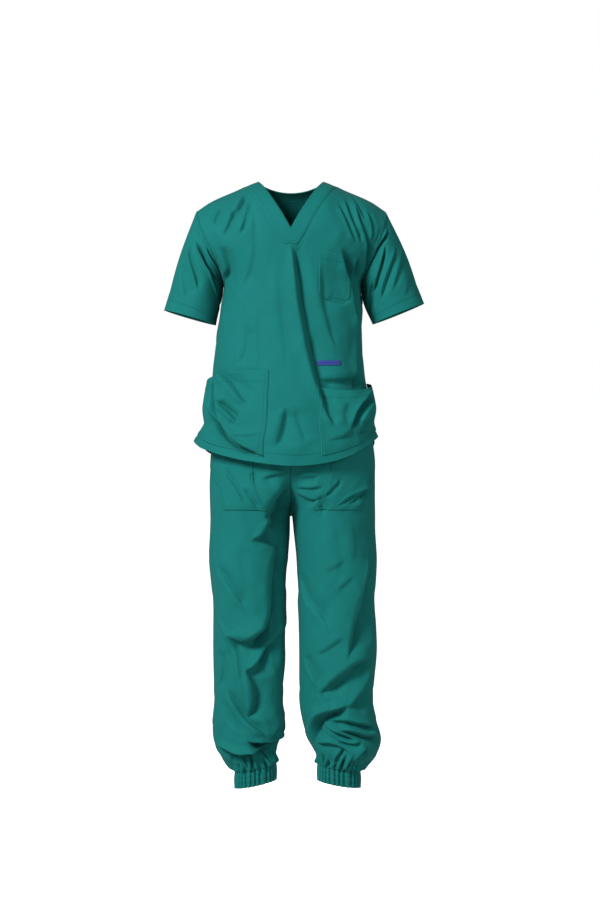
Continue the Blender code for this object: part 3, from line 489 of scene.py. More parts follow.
sleeveCreases = {"left": {
    "front": [
        (3.2, 2.8, 1.2, [(-213, -100), (-198, -132), (-184, -161)]),
        (7, 3, 2.5, [(-193, -143, 2.4), (-182, -174, 3), (-166, -199, 3.4), (-146, -222, 3)]),
        (8.5, 3.2, 3, [(-216, -136, 2.4), (-202, -170, 3.2), (-184, -204, 3.8), (-159, -240, 4)]),
        (6, 4, 2, [(-189, -195), (-175, -228), (-164, -262), (-162, -289)]),
        (4.5, 4.2, 1.5, [(-233, -141, 3), (-229, -177, 4.2), (-218, -215, 4.6), (-207, -253, 3)]),
        (3, 8, 0.8, [(-249, -186), (-247, -226), (-236, -271)]),
        (3, 6, 0.8, [(-204, -82), (-211, -109), (-207, -136)]),
    ],
    "back": [
        (7, 6, 2, [(-205, -138), (-192, -176), (-166, -226)]),
        (5, 6, 1.5, [(-228, -150), (-218, -200), (-206, -256)]),
        (4, 8, 1, [(-254, -190), (-246, -240), (-240, -285)]),
        (4, 5, 1, [(-190, -225), (-180, -262), (-182, -300)]),
    ],
}, "right": {
    "front": [
        (4.5, 2.8, 2, [(209, -116), (191, -150), (173, -183), (160, -210)]),
        (9, 3.4, 3, [(221, -106, 2.6), (203, -140, 3.2), (185, -167, 3.8), (169, -196, 4), (158, -222, 3.5)]),
        (6.5, 3.4, 2.5, [(211, -144), (202, -187), (190, -228), (180, -262)]),
        (4.5, 4.5, 1.5, [(236, -142, 3), (222, -196, 4.5), (206, -246, 4.8), (202, -278, 3)]),
        (3, 4.4, 1.2, [(252, -145), (243, -199), (227, -253)]),
        (5, 5, 1.5, [(182, -222), (173, -262), (178, -298)]),
        (1.2, 7, 0.5, [(268, -208), (263, -237), (256, -266)]),
        (3.5, 5, 1, [(202, -73), (198, -105), (191, -136)]),
    ],
    "back": [
        (7, 6, 2, [(212, -138), (200, -180), (176, -232)]),
        (5, 6, 1.5, [(238, -150), (228, -204), (218, -262)]),
        (4, 8, 1, [(266, -196), (258, -240), (250, -276)]),
        (4, 5, 1, [(200, -228), (192, -268), (196, -306)]),
    ],
}}
legCreases = {"left": {
    "front": [
        (6, 4, 2.5, [(-131, -1293), (-140, -1304), (-129, -1318)]),
        (14, 3, -1, [(-87, -1262), (-67, -1269), (-42, -1270), (-18, -1263)]),
        (13, 13, 4, [(-38, -1000, 8), (-64, -1020, 13), (-94, -1036, 14), (-120, -1034, 12),
            (-146, -1020, 5)]),
        (3.5, 5, 1.2, [(-154, -648), (-125, -693), (-96, -735)]),
        (3.5, 5, 1.2, [(-109, -695), (-91, -720), (-73, -740)]),
        (4, 5, 1.2, [(7, -659), (-33, -662), (-67, -673)]),
        (3, 4.5, 1, [(-93, -666), (-78, -679)]),
        (14, 10, 4, [(-2, -679, 9), (-22, -706, 14), (-46, -736, 14), (-66, -760, 8)]),
        (15, 12, 4.5, [(-11, -729, 10), (-31, -755, 15), (-51, -784, 16), (-78, -813, 9)]),
        (6, 7, 2, [(-51, -764, 4), (-64, -796, 6), (-91, -811, 4)]),
        (20, 18, 3.5, [(-18, -800, 10), (-32, -838, 18), (-41, -898, 24), (-43, -950, 22), (-48, -985, 16),
            (-64, -1014, 13), (-92, -1033, 12), (-120, -1036, 10)]),
        (5, 6, 2, [(-169, -867), (-136, -916), (-100, -967)]),
        (15, 9, 4.5, [(-4, -1001, 15), (-26, -1032, 13), (-51, -1063, 10), (-78, -1092, 8),
            (-107, -1108, 5)], (30, 0)),
        (12, 8, 3, [(-105, -1099, 6), (-88, -1135, 13), (-86, -1173, 14), (-98, -1213, 5)]),
        (-3.5, 6, -1, [(-167, -970), (-149, -1014), (-129, -1066), (-114, -1133), (-105, -1184)]),
        (7, 5.5, 2.5, [(-149, -1139), (-131, -1177), (-100, -1217), (-53, -1255)]),
        (7, 7, 2, [(-11, -1211, 8), (-26, -1237, 7), (-51, -1260, 5)], (25, 0)),
        (22, 5, 4.5, [(-13, -1258), (-40, -1269), (-64, -1271), (-98, -1261)], (25, 0)),
        (17, 5.5, 6, [(-22, -1275), (-51, -1287), (-87, -1292), (-118, -1292), (-147, -1282),
            (-172, -1274)], (20, 30)),
        (3.5, 8, 1, [(-165, -1054), (-158, -1099), (-163, -1144)]),
        (3.5, 7, 1, [(-160, -1175), (-140, -1215), (-105, -1251)]),
        (1.6, 12, 0.6, [(-122, -820), (-114, -876), (-100, -943)]),
        (4, 8, 1, [(-22, -854, 4), (-20, -898, 8), (-15, -943, 6)]),
        (-1.2, 2, -1, [(-9, -916), (-22, -965), (-35, -1014), (-51, -1050)]),
        (-1.2, 2, -1, [(-183, -648), (-172, -675), (-160, -702)]),
    ],
    "round": [
        (2.5, 8, 1, [(18, -1130), (-2, -1165), (-24, -1190)]),
        (2.5, 7, 1, [(16, -1210), (-4, -1232), (-26, -1246)]),
        (2, 9, 0.8, [(14, -900), (-4, -940), (-22, -965)]),
        (3.5, 10, 1, [(10, -620), (2, -700), (-6, -800)]),
        (3, 8, 1, [(84, -1120), (100, -1150), (116, -1172)]),
        (3, 7, 1, [(82, -1236), (100, -1256), (118, -1262)]),
        (4.5, 9, 1.5, [(88, -880), (102, -930), (120, -960)]),
    ],
    "back": [
        (6, 9, 2, [(-158, -735, 6), (-112, -722, 10), (-66, -726, 9), (-20, -748, 5)]),
        (5, 9, 1.6, [(-120, -770, 6), (-80, -762, 9), (-40, -782, 6)]),
        (5, 10, 1.5, [(-132, -560), (-88, -600), (-40, -650)]),
        (4, 11, 1.2, [(-66, -800, 7), (-74, -858, 12), (-92, -915, 7)]),
        (9, 11, 3, [(-172, -962, 6), (-130, -990, 12), (-84, -1012, 11), (-52, -1010, 5)]),
        (7, 8, 2.4, [(-60, -1032, 5), (-96, -1048, 9), (-134, -1040, 5)]),
        (6, 10, 2, [(-130, -1066, 5), (-104, -1100, 11), (-62, -1128, 6)]),
        (8, 7, 2.5, [(-166, -1140, 5), (-128, -1176, 8), (-84, -1198, 7), (-48, -1192, 4)]),
        (5, 6, 2, [(-98, -1150), (-70, -1160), (-46, -1150)]),
        (9, 6, 3, [(-152, -1232, 4), (-112, -1252, 7), (-70, -1262, 6), (-42, -1250, 4)]),
        (6, 4.5, 2, [(-160, -1262), (-128, -1276), (-96, -1282)]),
        (7, 5, 2, [(-64, -1282), (-92, -1294), (-124, -1290)]),
    ],
}, "right": {
    "front": [
        (6, 3.5, 2, [(163, -1264), (132, -1266), (105, -1258)]),
        (5, 4, 2, [(119, -1282), (105, -1296), (96, -1313)]),
        (4.5, 3.4, 1.8, [(188, -679), (154, -708), (121, -733)]),
        (3.2, 3.4, 1.2, [(112, -673), (92, -691), (72, -711)]),
        (4.5, 3, 1.6, [(179, -691), (154, -704), (128, -717), (99, -735)]),
        (3, 3.2, 1.2, [(76, -688), (43, -691), (9, -691)]),
        (3, 4.5, 1, [(63, -664), (16, -668)]),
        (3.6, 3.6, 1.4, [(70, -713), (45, -720), (9, -704)]),
        (4, 4.5, 1.2, [(58, -711), (63, -731), (72, -755)]),
        (1.6, 7, 0.7, [(123, -854), (101, -867), (74, -880)]),
        (1.6, 7, 0.7, [(139, -889), (121, -907), (103, -921)]),
        (12, 11, 2.5, [(183, -858, 7), (172, -898, 13), (159, -947, 16), (141, -1014, 12),
            (123, -1086, 5)], (30, 0)),
        (5, 8, 1.5, [(18, -887, 6), (29, -934, 8), (56, -972, 7), (92, -1014, 5)], (15, 0)),
        (4.5, 6, 1.5, [(27, -1072), (45, -1110), (63, -1141)]),
        (13, 9, 4, [(183, -1070, 6), (139, -1095, 13), (103, -1121, 12), (63, -1155, 5)]),
        (2.6, 7, 1, [(119, -1025), (87, -1048), (56, -1068)]),
        (8.5, 9, 2.5, [(183, -1112, 12), (168, -1144, 10), (148, -1168, 7), (125, -1188, 4)], (25, 0)),
        (16, 7, 5, [(132, -1179, 4), (101, -1193, 6), (70, -1204, 7.5), (54, -1217, 8), (47, -1240, 8),
            (54, -1273, 6)], (0, 8)),
        (8, 4.5, 3, [(192, -1235), (150, -1222), (121, -1215), (74, -1220)]),
        (11, 5, 3.5, [(201, -1255), (170, -1249), (136, -1240), (101, -1237)], (20, 0)),
        (7.5, 3.6, 3, [(152, -1260), (103, -1242), (58, -1224)]),
        (4, 3.2, 1.5, [(123, -1269), (96, -1253), (67, -1235)]),
        (5.5, 4.5, 2, [(136, -1293), (112, -1275), (85, -1268), (54, -1271)]),
        (10, 6, 3, [(174, -1278), (154, -1296), (132, -1318)]),
        (1.6, 13, 0.6, [(96, -769), (103, -842), (96, -921)]),
        (1.5, 12, 0.6, [(136, -764), (141, -820), (136, -867)]),
        (-1.2, 2, -1, [(179, -827), (168, -880), (157, -938), (145, -992)]),
        (3, 6, 1, [(61, -1148), (74, -1171), (94, -1188)]),
    ],
    "round": [
        (2.5, 8, 1, [(16, -1116), (-4, -1150), (-24, -1170)]),
        (2.5, 7, 1, [(14, -1200), (-6, -1222), (-28, -1232)]),
        (2, 9, 0.8, [(16, -880), (-2, -930), (-20, -962)]),
        (3.5, 10, 1, [(8, -620), (-2, -700), (4, -800)]),
        (3, 8, 1, [(84, -1128), (100, -1160), (118, -1180)]),
        (3, 7, 1, [(84, -1230), (100, -1250), (118, -1258)]),
        (4.5, 9, 1.5, [(86, -900), (102, -950), (118, -990)]),
    ],
    "back": [
        (6, 9, 2, [(162, -743, 6), (116, -730, 10), (70, -734, 9), (24, -756, 5)]),
        (5, 9, 1.6, [(131, -765, 6), (91, -757, 9), (51, -777, 6)]),
        (5, 10, 1.5, [(141, -559), (97, -599), (49, -649)]),
        (4, 11, 1.2, [(73, -803, 7), (81, -861, 12), (99, -918, 7)]),
        (7, 8, 2.4, [(72, -1026, 5), (108, -1042, 9), (146, -1034, 5)]),
        (6, 10, 2, [(140, -1064, 5), (114, -1098, 11), (72, -1126, 6)]),
        (8, 7, 2.5, [(174, -1142, 5), (136, -1178, 8), (92, -1200, 7), (56, -1194, 4)]),
        (9, 6, 3, [(156, -1225, 4), (116, -1245, 7), (74, -1255, 6), (46, -1243, 4)]),
        (6, 4.5, 2, [(171, -1259), (139, -1273), (107, -1279)]),
        (7, 5, 2, [(73, -1283), (101, -1295), (133, -1291)]),
        (8, 10, 3, [(60, -985, 5), (96, -1004, 11), (150, -990, 9), (186, -956, 5)]),
        (5, 8, 1.6, [(160, -1052, 5), (120, -1072, 9), (80, -1062, 5)]),
    ],
}}
pocketCreases = {"left": {
    "front": [
        (6, 6, 3, [(-46, -623, 4), (-90, -606, 5), (-125, -590, 6), (-150, -568, 6), (-157, -540, 6),
            (-161, -506, 5)]),
        (9, 6.5, 3.5, [(-152, -430, 5), (-125, -467, 7), (-94, -511, 4)]),
        (9, 3.6, 3, [(-157, -502), (-138, -520), (-117, -550)]),
        (9, 3.2, -1, [(-158, -440), (-160, -475), (-159, -511), (-154, -544), (-143, -576)]),
        (4, 4.5, 1.2, [(-59, -570), (-94, -577), (-125, -573)]),
    ],
}, "right": {
    "front": [
        (12, 3.6, 3.5, [(166, -474, 3), (143, -513, 4), (127, -568, 3.5)]),
        (12, 3.4, 2.5, [(172, -508, 3), (157, -544, 4), (148, -574, 3)]),
        (-5, 6, -1, [(170, -492), (154, -522), (141, -560)]),
        (6, 5.5, 2, [(67, -480, 4), (76, -520, 6), (98, -557, 5)]),
        (4, 7, 1.5, [(135, -564), (113, -579), (82, -586)]),
        (2, 8, 1, [(120, -498), (111, -529), (122, -555)]),
    ],
}}
foldGain = 1.6
foldReturn = (3.0, 5.0)     # how far the brow and the valley ease out, in half widths of the steep face
foldTaper = 0.25            # share of a line at each end over which it fades


# a crease's points evened out: around, along, half width of the steep face
def creaseLine(points, spacing=0.006):
    steps = runLength(points[:, :2])
    at = np.linspace(0.0, steps[-1], max(int(steps[-1] / spacing), 4))
    return np.stack([readLine(steps, points[:, k], at) for k in range(3)], axis=1)


# inward depth of every crease at cloth places (around, along), both in metres
def creaseField(creases, around, along, period):
    total = np.zeros_like(around)
    for depth, lip, line in creases:
        reach = (1.0 + max(foldReturn)) * line[:, 2].max()
        for shift in (-period, 0.0, period):
            a, b = around + shift, along
            near = ((a > line[:, 0].min() - reach) & (a < line[:, 0].max() + reach)
                    & (b > line[:, 1].min() - reach) & (b < line[:, 1].max() + reach))
            if near.any():
                total[near] += creaseDepth(depth, lip, line, a[near], b[near])
    return total


def creaseDepth(depth, lip, line, a, b):
    best = np.full(a.shape, 1e9)
    share, signed, width = np.zeros(a.shape), np.zeros(a.shape), np.full(a.shape, millimetre)
    for k in range(len(line) - 1):
        runA, runB = line[k + 1, :2] - line[k, :2]
        length = max(math.hypot(runA, runB), 1e-9)
        relA, relB = a - line[k, 0], b - line[k, 1]
        t = np.clip((relA * runA + relB * runB) / length ** 2, 0.0, 1.0)
        gap = np.hypot(relA - t * runA, relB - t * runB)
        closer = gap < best
        best = np.where(closer, gap, best)
        share = np.where(closer, (k + t) / (len(line) - 1), share)
        signed = np.where(closer, (relA * runB - relB * runA) / length, signed)
        width = np.where(closer, line[k, 2] + t * (line[k + 1, 2] - line[k, 2]), width)
    ends = smoothStep(share / foldTaper) * smoothStep((1.0 - share) / foldTaper)
    away = best / (width * (0.5 + 0.5 * ends))
    if lip < 0.0:
        return ends * depth * np.exp(-away ** 2)
    # one steep face falls from a rounded brow to a valley, and the cloth eases back flat on both sides
    ease = np.where(signed > 0.0, foldReturn[0], foldReturn[1])
    shape = np.where(away < 1.0, np.sin(math.pi / 2 * np.minimum(away, 1.0)),
                     np.clip(1.0 - (away - 1.0) / ease, 0.0, 1.0) ** 1.5)
    return ends * shape * np.where(signed > 0.0, -lip, depth)


# slow unevenness of hanging cloth
def softWaves(around, along, seed, amount):
    drift = np.random.RandomState(seed)
    total = np.zeros_like(around)
    for wave in (0.19, 0.13, 0.085, 0.055, 0.036):
        slope = drift.uniform(-0.45, 0.45)
        phase, bend = drift.uniform(0.0, 6.28, 2)
        warp = 0.02 * np.sin(along * 2 * math.pi / 0.23 + bend)
        total += (amount * (wave / 0.19) ** 0.9
                  * np.sin((around + warp + along * slope) * 2 * math.pi / wave + phase)
                  * np.sin(along * 2 * math.pi / (wave * 2.6) + bend))
    return total


guardFrom, guardReach = 0.78, 0.20


# folds are held back where the surface turns away from the camera, so that the outline stays
def outlineGuard(normal, share):
    return 1.0 - share * smoothStep((np.abs(normal[..., 0]) - guardFrom) / guardReach)


# a crease table put on a piece's own places, found on a coarse copy of its surface
def placeCreases(table, finders, halfRound, period):
    placed = []
    rows = [(side, row) for side, group in table.items() for row in group]
    for side, (depth, width, lip, points, *runOn) in rows:
        line = []
        turn = 1.0
        for point in points:
            if side == "round":
                place = (point[0] / 100.0 * halfRound, point[1] * millimetre)
            else:
                places, shown, turn = finders[side]
                place = places[np.argmin(np.hypot(*(shown - np.array(point[:2]) * millimetre).T))]
            around = place[0]
            if line:      # a line over the middle of the back stays whole
                around -= period * round((around - line[-1][0]) / period)
            line.append((around, place[1], (point[2] if len(point) > 2 else width) * millimetre))
        line = np.array(line)
        if runOn:
            ahead, after = [extended(line[end], line[by], far)
                            for end, by, far in zip((0, -1), (1, -2), runOn[0])]
            line = np.concatenate([ahead, line, after])
        if turn < 0.0:
            line = line[::-1]
        placed.append((depth * foldGain * millimetre, lip * foldGain * millimetre, creaseLine(line)))
    return placed


# the point a line reaches beyond its end, or none
def extended(end, before, far):
    further = end + (end - before) / np.hypot(*(end - before)[:2]) * far * millimetre
    further[2] = end[2]
    return further[None][:int(far > 0)]


def finder(surface, placeOf, uRange, vRange, turn):
    u, v = np.meshgrid(np.linspace(*uRange, 160), np.linspace(*vRange, 260))
    points = surface(u, v)
    around, along = placeOf(u, v, points)
    return stack(around.ravel(), along.ravel()), stack(points[..., 0].ravel(), points[..., 2].ravel()), turn


def torsoPlace(side, across, points):
    if side == "front":
        return across * quarter, points[..., 2]
    return np.where(across < 0.0, -2.0, 2.0) * quarter - across * quarter, points[..., 2]


torsoFinders = {side: finder(lambda a, b: torsoBare(side, a, b), lambda a, b, p: torsoPlace(side, a, p),
                             (-1.0, 1.0), (0.0, 1.0), -facing[side]) for side in sides}
torsoLines = placeCreases(topCreases, torsoFinders, quarter, 4.0 * quarter)
hipLines = {name: placeCreases(pocketCreases[name], torsoFinders, quarter, 4.0 * quarter) for name in names}
torsoFade = {"wave": 0.0016, "armhole": 0.05, "shoulder": 0.07, "sides": 0.09, "guard": 0.85,
             "seatTop": -0.44, "seatReach": 0.06, "seatDeep": 0.0006}


def torsoCloth(side, across, up, lift=0.0):
    size = torsoFade
    bare = torsoBare(side, across, up)
    normal = -facing[side] * normalsOf(lambda a, b: torsoBare(side, a, b), across, up, (-1.0, 1.0, 0.0, 1.0))
    around, along = torsoPlace(side, across, bare)
    inward = creaseField(torsoLines, around, along, 4.0 * quarter)
    inward = inward + softWaves(around, along, 11, size["wave"])
    armhole = smoothStep((up - topSizes["armpitRow"] + size["armhole"]) / size["armhole"])
    fade = (smoothStep((1.0 - up) / size["shoulder"])
            * (1.0 - armhole * (1.0 - smoothStep((1.0 - np.abs(across)) / size["sides"]))))
    inward = inward * fade * outlineGuard(normal, size["guard"])
    if side == "back":     # the seat of the trousers is close behind
        shallow = smoothStep((size["seatTop"] - along) / size["seatReach"])
        inward = inward * (1.0 - shallow) + np.minimum(inward, size["seatDeep"]) * shallow
    return bare + normal * (lift - inward)[..., None], normal


def finishPiece(name, mesh, material):
    mesh.materials.append(material)
    piece = addObject(name, mesh)
    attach(piece, body)
    return piece


# Cloth on a grid of points. uv is in metres of cloth, edge is 1 where the cloth is turned over and sets the
# share of the paler edge colour, part wear and part painted highlight, outward gives the way out at a place,
# and replaced is the CAD node that the piece stands for.
def clothSheet(name, points, uv, outward, replaced=None, edge=None, closed=False, wall=wallThickness,
               material=cloth, **soft):
    if closed:
        points[:, -1] = points[:, 0]
    rows, columns = points.shape[:2]
    bm = bmesh.new()
    bmesh.ops.create_grid(bm, x_segments=columns - 1, y_segments=rows - 1, size=1.0)
    mesh = bpy.data.meshes.new(name)
    bm.to_mesh(mesh)
    bm.free()
    co = readMesh(mesh.vertices, "co", float, 3)
    i = np.rint((co[:, 0] + 1.0) / 2.0 * (columns - 1)).astype(int)
    j = np.rint((co[:, 1] + 1.0) / 2.0 * (rows - 1)).astype(int)
    mesh.vertices.foreach_set("co", points[j, i].ravel())
    corner = readMesh(mesh.loops, "vertex_index", int)
    mesh.uv_layers.new(name="cloth").data.foreach_set("uv", uv[j, i][corner].ravel())
    if edge is None:
        edge = np.zeros((rows, columns))
    mesh.attributes.new("edge", "FLOAT", "POINT").data.foreach_set("value", edge[j, i].astype(float))
    mesh.update()
    bm = bmesh.new()
    bm.from_mesh(mesh)
    if closed:
        bmesh.ops.remove_doubles(bm, verts=bm.verts, dist=1e-6)
    bm.normal_update()
    agree = sum(f.normal.dot(outward(f.calc_center_median())) for f in list(bm.faces)[::37])
    if agree < 0.0:
        bmesh.ops.reverse_faces(bm, faces=bm.faces)
    for face in bm.faces:
        face.smooth = True
    bm.to_mesh(mesh)
    bm.free()
    piece = finishPiece(name, mesh, material)
    shell = piece.modifiers.new("wall", "SOLIDIFY")
    shell.thickness = wall
    shell.offset = -1.0
    if replaced:
        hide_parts(replaced)


def readMesh(items, key, kind, width=1):
    values = np.empty(len(items) * width, kind)
    items.foreach_get(key, values)
    return values.reshape(-1, width) if width > 1 else values


def fromAxis(x, y=0.0):
    return lambda place: Vector((place.x - x, place.y - y, 0.0))


def toward(*way):
    return lambda place: Vector(way)


edgeReach = 0.0035
hemRows = np.array([0.0, 0.0012, 0.004, 0.009, 0.015, 0.020, 0.0225, 0.024, 0.0255, 0.029])
hemGroove = {"deep": 0.0004, "wide": 0.0016}


# 1 at a sheet's edges, falling to 0 within a few millimetres; distances in metres
def edgeMark(*distances):
    mark = 0.0
    for distance in distances:
        mark = np.maximum(mark, np.exp(-(distance / edgeReach) ** 2))
    return mark


# a hem's stitching draws the cloth in a little
def drawIn(points, normals, fromStitching):
    points -= normals * (hemGroove["deep"] * np.exp(-(fromStitching / hemGroove["wide"]) ** 2))[..., None]


stitchSizes = {"pitch": 0.0034, "length": 0.0025, "thick": 0.00050, "lift": 0.0003, "look": 0.001}
stitches = {"top": bmesh.new(), "legs": bmesh.new()}


# a row of stitches along points, standing on the side of the normals
def sew(group, points, normals):
    size = stitchSizes
    steps = runLength(points)
    at = np.arange(size["pitch"] / 2, steps[-1], size["pitch"])

    def read(values, where):
        return np.stack([np.interp(where, steps, values[:, k]) for k in range(3)], axis=1)

    runs = (read(points, np.minimum(at + size["look"], steps[-1]))
            - read(points, np.maximum(at - size["look"], 0.0)))
    for place, run, up in zip(read(points, at), runs, read(normals, at)):
        run, up = Vector(run).normalized(), Vector(up)
        up = (up - run * up.dot(run)).normalized()
        turn = Matrix((run, up.cross(run), up)).transposed().to_4x4()
        shape = Matrix.Diagonal((size["length"], size["thick"], size["thick"], 1.0))
        centre = Vector(place) + up * size["lift"]
        bmesh.ops.create_cube(stitches[group], size=1.0, matrix=Matrix.Translation(centre) @ turn @ shape)


def sewTorso(side, across, up):
    sew("top", *torsoCloth(side, across, up))


# stitching down one side of a pocket, along its foot and up the other, as shares across and up
def pocketRoute(inset, foot, starts, corner, counts):
    down, over, back = counts
    far = 1.0 - inset
    return (np.concatenate([np.full(down, inset), np.linspace(inset, far, over), np.full(back, far)]),
            np.concatenate([np.linspace(starts[0], corner, down), np.full(over, foot),
                            np.linspace(corner, starts[1], back)]))


def finishStitching():
    for group, bm in stitches.items():
        for face in bm.faces:
            face.smooth = False
        mesh = bpy.data.meshes.new("stitching_" + group)
        bm.to_mesh(mesh)
        bm.free()
        corner = readMesh(mesh.loops, "vertex_index", int)
        flat = readMesh(mesh.vertices, "co", float, 3)[corner][:, [0, 2]]
        mesh.uv_layers.new(name="cloth").data.foreach_set("uv", flat.ravel())
        finishPiece("stitching_" + group, mesh, thread)


panels = ["cloth_top_front", "cloth_top_back"]


def makeTorso():
    inset, deep = topSizes["seamInset"], topSizes["hemDeep"]
    low = topSizes["armpitRow"]
    for side, other in (("front", "back"), ("back", "front")):
        columns, rowsBelow, rowsAbove = topSizes["grid"][side]
        hem = hemRows / topSizes["high"]
        above = armholeRise(1.0 - np.linspace(0.0, 1.0, rowsAbove + 1)[1:])
        up = np.concatenate([hem, np.linspace(hem[-1], low, rowsBelow)[1:], above])
        a, u = np.meshgrid(np.linspace(-1.0, 1.0, columns + 1), up)
        points, normals = torsoCloth(side, a, u)
        high = u * panelHeight(side, a)
        drawIn(points, normals, high - deep)
        edge = edgeMark(high, (1.0 - np.abs(a)) * quarter + topSizes["seamOff"])
        clothSheet("cloth_top_" + side, points, stack(*torsoPlace(side, a, points)),
                   toward(0.0, facing[side], 0.0), "top_" + side, edge=edge, flat=(0.56, 0.665), held="draped",
                   rests_on=["cloth_top_" + other], area=topSizes["flatArea"][side])
        line = np.linspace(-0.995, 0.995, 400)
        sewTorso(side, line, deep / panelHeight(side, line))
        for sign in (-1.0, 1.0):      # beside the shoulder seam and round the armhole
            line = np.linspace(shoulderShare(0.106), 0.985, 60) * sign
            sewTorso(side, line, np.full_like(line, 1.0) - inset / panelHeight(side, line))
            rise = np.linspace(low + inset, 0.985, 120)
            sewTorso(side, sign * (1.0 - inset / quarter) * np.ones_like(rise), rise)
    print("top panels done")


def sleevePlace(share, down):
    return share * sleeveSizes["halfRound"], -down * sleeveSizes["length"]


def sleeveLinesOf(name):
    finders = {}
    for side, shares in (("front", (0.0, 1.0)), ("back", (1.0, 2.0))):
        finders[side] = finder(lambda a, b: sleeveBare(name, a, b), lambda a, b, p: sleevePlace(a, b), shares,
                               (0.0, 1.0), sleeveSizes[name]["sign"] * facing[side])
    half = sleeveSizes["halfRound"]
    return placeCreases(sleeveCreases[name], finders, half, 2.0 * half)


sleeveLines = {name: sleeveLinesOf(name) for name in names}
sleeveFade = {"wave": 0.0012, "ripple": 0.0006, "top": 0.10, "hem": 0.12, "hemShare": 0.55, "guard": 0.5}


def sleeveCloth(name, share, down):
    bare = sleeveBare(name, share, down)
    normal = sleeveSizes[name]["sign"] * normalsOf(lambda a, b: sleeveBare(name, a, b), share, down,
                                                   (-9.0, 9.0, 0.0, 1.0))
    inward = creaseField(sleeveLines[name], *sleevePlace(share, down), 2.0 * sleeveSizes["halfRound"])
    size, angle = sleeveFade, math.pi * share
    inward = (inward + size["wave"] * np.sin(3 * angle + 1.0) * np.sin(down * 5.0)
              + size["ripple"] * np.sin(7 * angle + down * 6.0))
    atHem = size["hemShare"] + (1.0 - size["hemShare"]) * smoothStep((1.0 - down) / size["hem"])
    inward = inward * smoothStep(down / size["top"]) * atHem * outlineGuard(normal, size["guard"])
    return bare - normal * inward[..., None], normal


def makeSleeves():
    length, deep = sleeveSizes["length"], sleeveSizes["hemDeep"]
    for name in names:
        size = sleeveSizes[name]
        share = np.linspace(0.0, 2.0, sleeveSizes["columns"] + 1)
        hem = 1.0 - hemRows / length
        down = np.concatenate([np.linspace(0.0, hem[-1], sleeveSizes["rows"])[:-1], hem[::-1]])
        s, d = np.meshgrid(share, down)
        points, normals = sleeveCloth(name, s, d)
        fromHem = (1.0 - d) * length
        drawIn(points, normals, fromHem - deep)
        # the first row laps over the panels' edge
        rise = np.minimum(armholeRise(np.where(share <= 1.0, share, 2.0 - share)), 0.999)
        inside = np.full_like(share, size["sign"] * (1.0 - sleeveSizes["lap"] / quarter))
        front, back = [torsoCloth(side, inside, rise, sleeveSizes["lapLift"])[0] for side in sides]
        points[0] = np.where((share <= 1.0)[:, None], front, back)
        middle = (size["outer"][0] + size["inner"][0]) / 2
        clothSheet("cloth_sleeve_" + name, points, stack(*sleevePlace(s, d)), fromAxis(middle),
                   "sleeve_" + name, edge=edgeMark(fromHem), closed=True, wall=sleeveSizes["wall"],
                   flat=(0.44, 0.26), held="draped", rests_on=panels, area=0.09)
        ring = np.linspace(0.0, 2.0, 300)
        sew("top", *sleeveCloth(name, ring, np.full_like(ring, 1.0 - deep / length)))
    print("sleeves done")


bandSizes = {"columns": 150, "rows": 12, "lift": 0.0003, "tuck": 0.10, "width": 0.028, "endClear": 0.001,
             "liftFade": 0.01, "stitching": (0.06, 0.90), "stitchLean": 0.6}


def bandPoint(side, x, share, lift):
    inner = x * topSizes["neckPoint"] / topSizes["bandPoint"]
    innerZ, outerZ = neckHeight(side, inner), bandHeight(side, x)
    px = x + (inner - x) * share
    pz = outerZ + (innerZ - outerZ) * share
    edge, turn = torsoEdge(side, pz, px)
    angle = np.arcsin(np.clip(np.abs(px) * np.sin(turn) / edge, 0.0, 1.0))
    return stack(px, facing[side] * (torsoDepth(side, px, pz, angle) + seamGap / 2 + lift), pz)


def makeNeckBand():
    size = bandSizes
    limit = topSizes["bandPoint"]
    front = np.linspace(-limit, limit, size["columns"])
    back = np.linspace(limit, -limit, size["columns"] * 3 // 4)[1:]
    share = np.linspace(-size["tuck"], 1.0, size["rows"])
    parts = []
    for side, xs in (("front", front), ("back", back)):
        x, s = np.meshgrid(xs, share)
        lift = size["lift"] * np.clip((np.abs(xs) - limit) / -size["liftFade"], 0.0, 1.0)
        parts.append(bandPoint(side, x, s, lift))
    points = np.concatenate(parts, axis=1)
    points[:, [0, len(front) - 1, -1], 1] = 0.0
    points[:, -1] = points[:, 0]
    share, wide = share[:, None], size["width"]
    edge = edgeMark((1.0 - share) * wide, (share + size["tuck"]) * wide) * np.ones(points.shape[1])
    clothSheet("cloth_neck_band", points, stack(runLength(points[0]), share * wide), fromAxis(0.0), "neck_band",
               edge=edge, closed=True, flat=(0.66, 0.031), held="stretched", rests_on=panels)
    limit -= size["endClear"]
    xs = np.linspace(-limit, limit, 260)
    for share in size["stitching"]:
        for side in sides:
            away = stack(np.zeros_like(xs), facing[side], size["stitchLean"])
            sew("top", bandPoint(side, xs, np.full_like(xs, share), size["lift"]), away)
    print("neck band done")


pocketSizes = {
    "chest": {"x0": 0.062, "x1": 0.127, "bottom": -0.272, "top": -0.164, "slant": 0.010, "gape": 0.0009,
              "chamfer": 0.012, "chamferHigh": 0.11, "hem": 0.018},
    "left": {"inner": -0.175, "outer": -0.935, "bulge": 0.021, "outward": 1.9,
             "mouth": [(0.00, -0.430), (0.40, -0.434), (0.70, -0.447), (1.00, -0.464)]},
    "right": {"inner": 0.215, "outer": 0.960, "bulge": 0.022, "outward": 1.5,
              "mouth": [(0.00, -0.464), (0.30, -0.476), (0.50, -0.477), (0.75, -0.470), (1.00, -0.458)]},
    "high": 0.165, "foot": 0.030, "lift": 0.0009, "wall": 0.0006, "cornerEase": 0.0012, "columns": 74,
    "rows": 76, "hemDeep": 0.022, "insets": (0.0022, 0.0075),
}


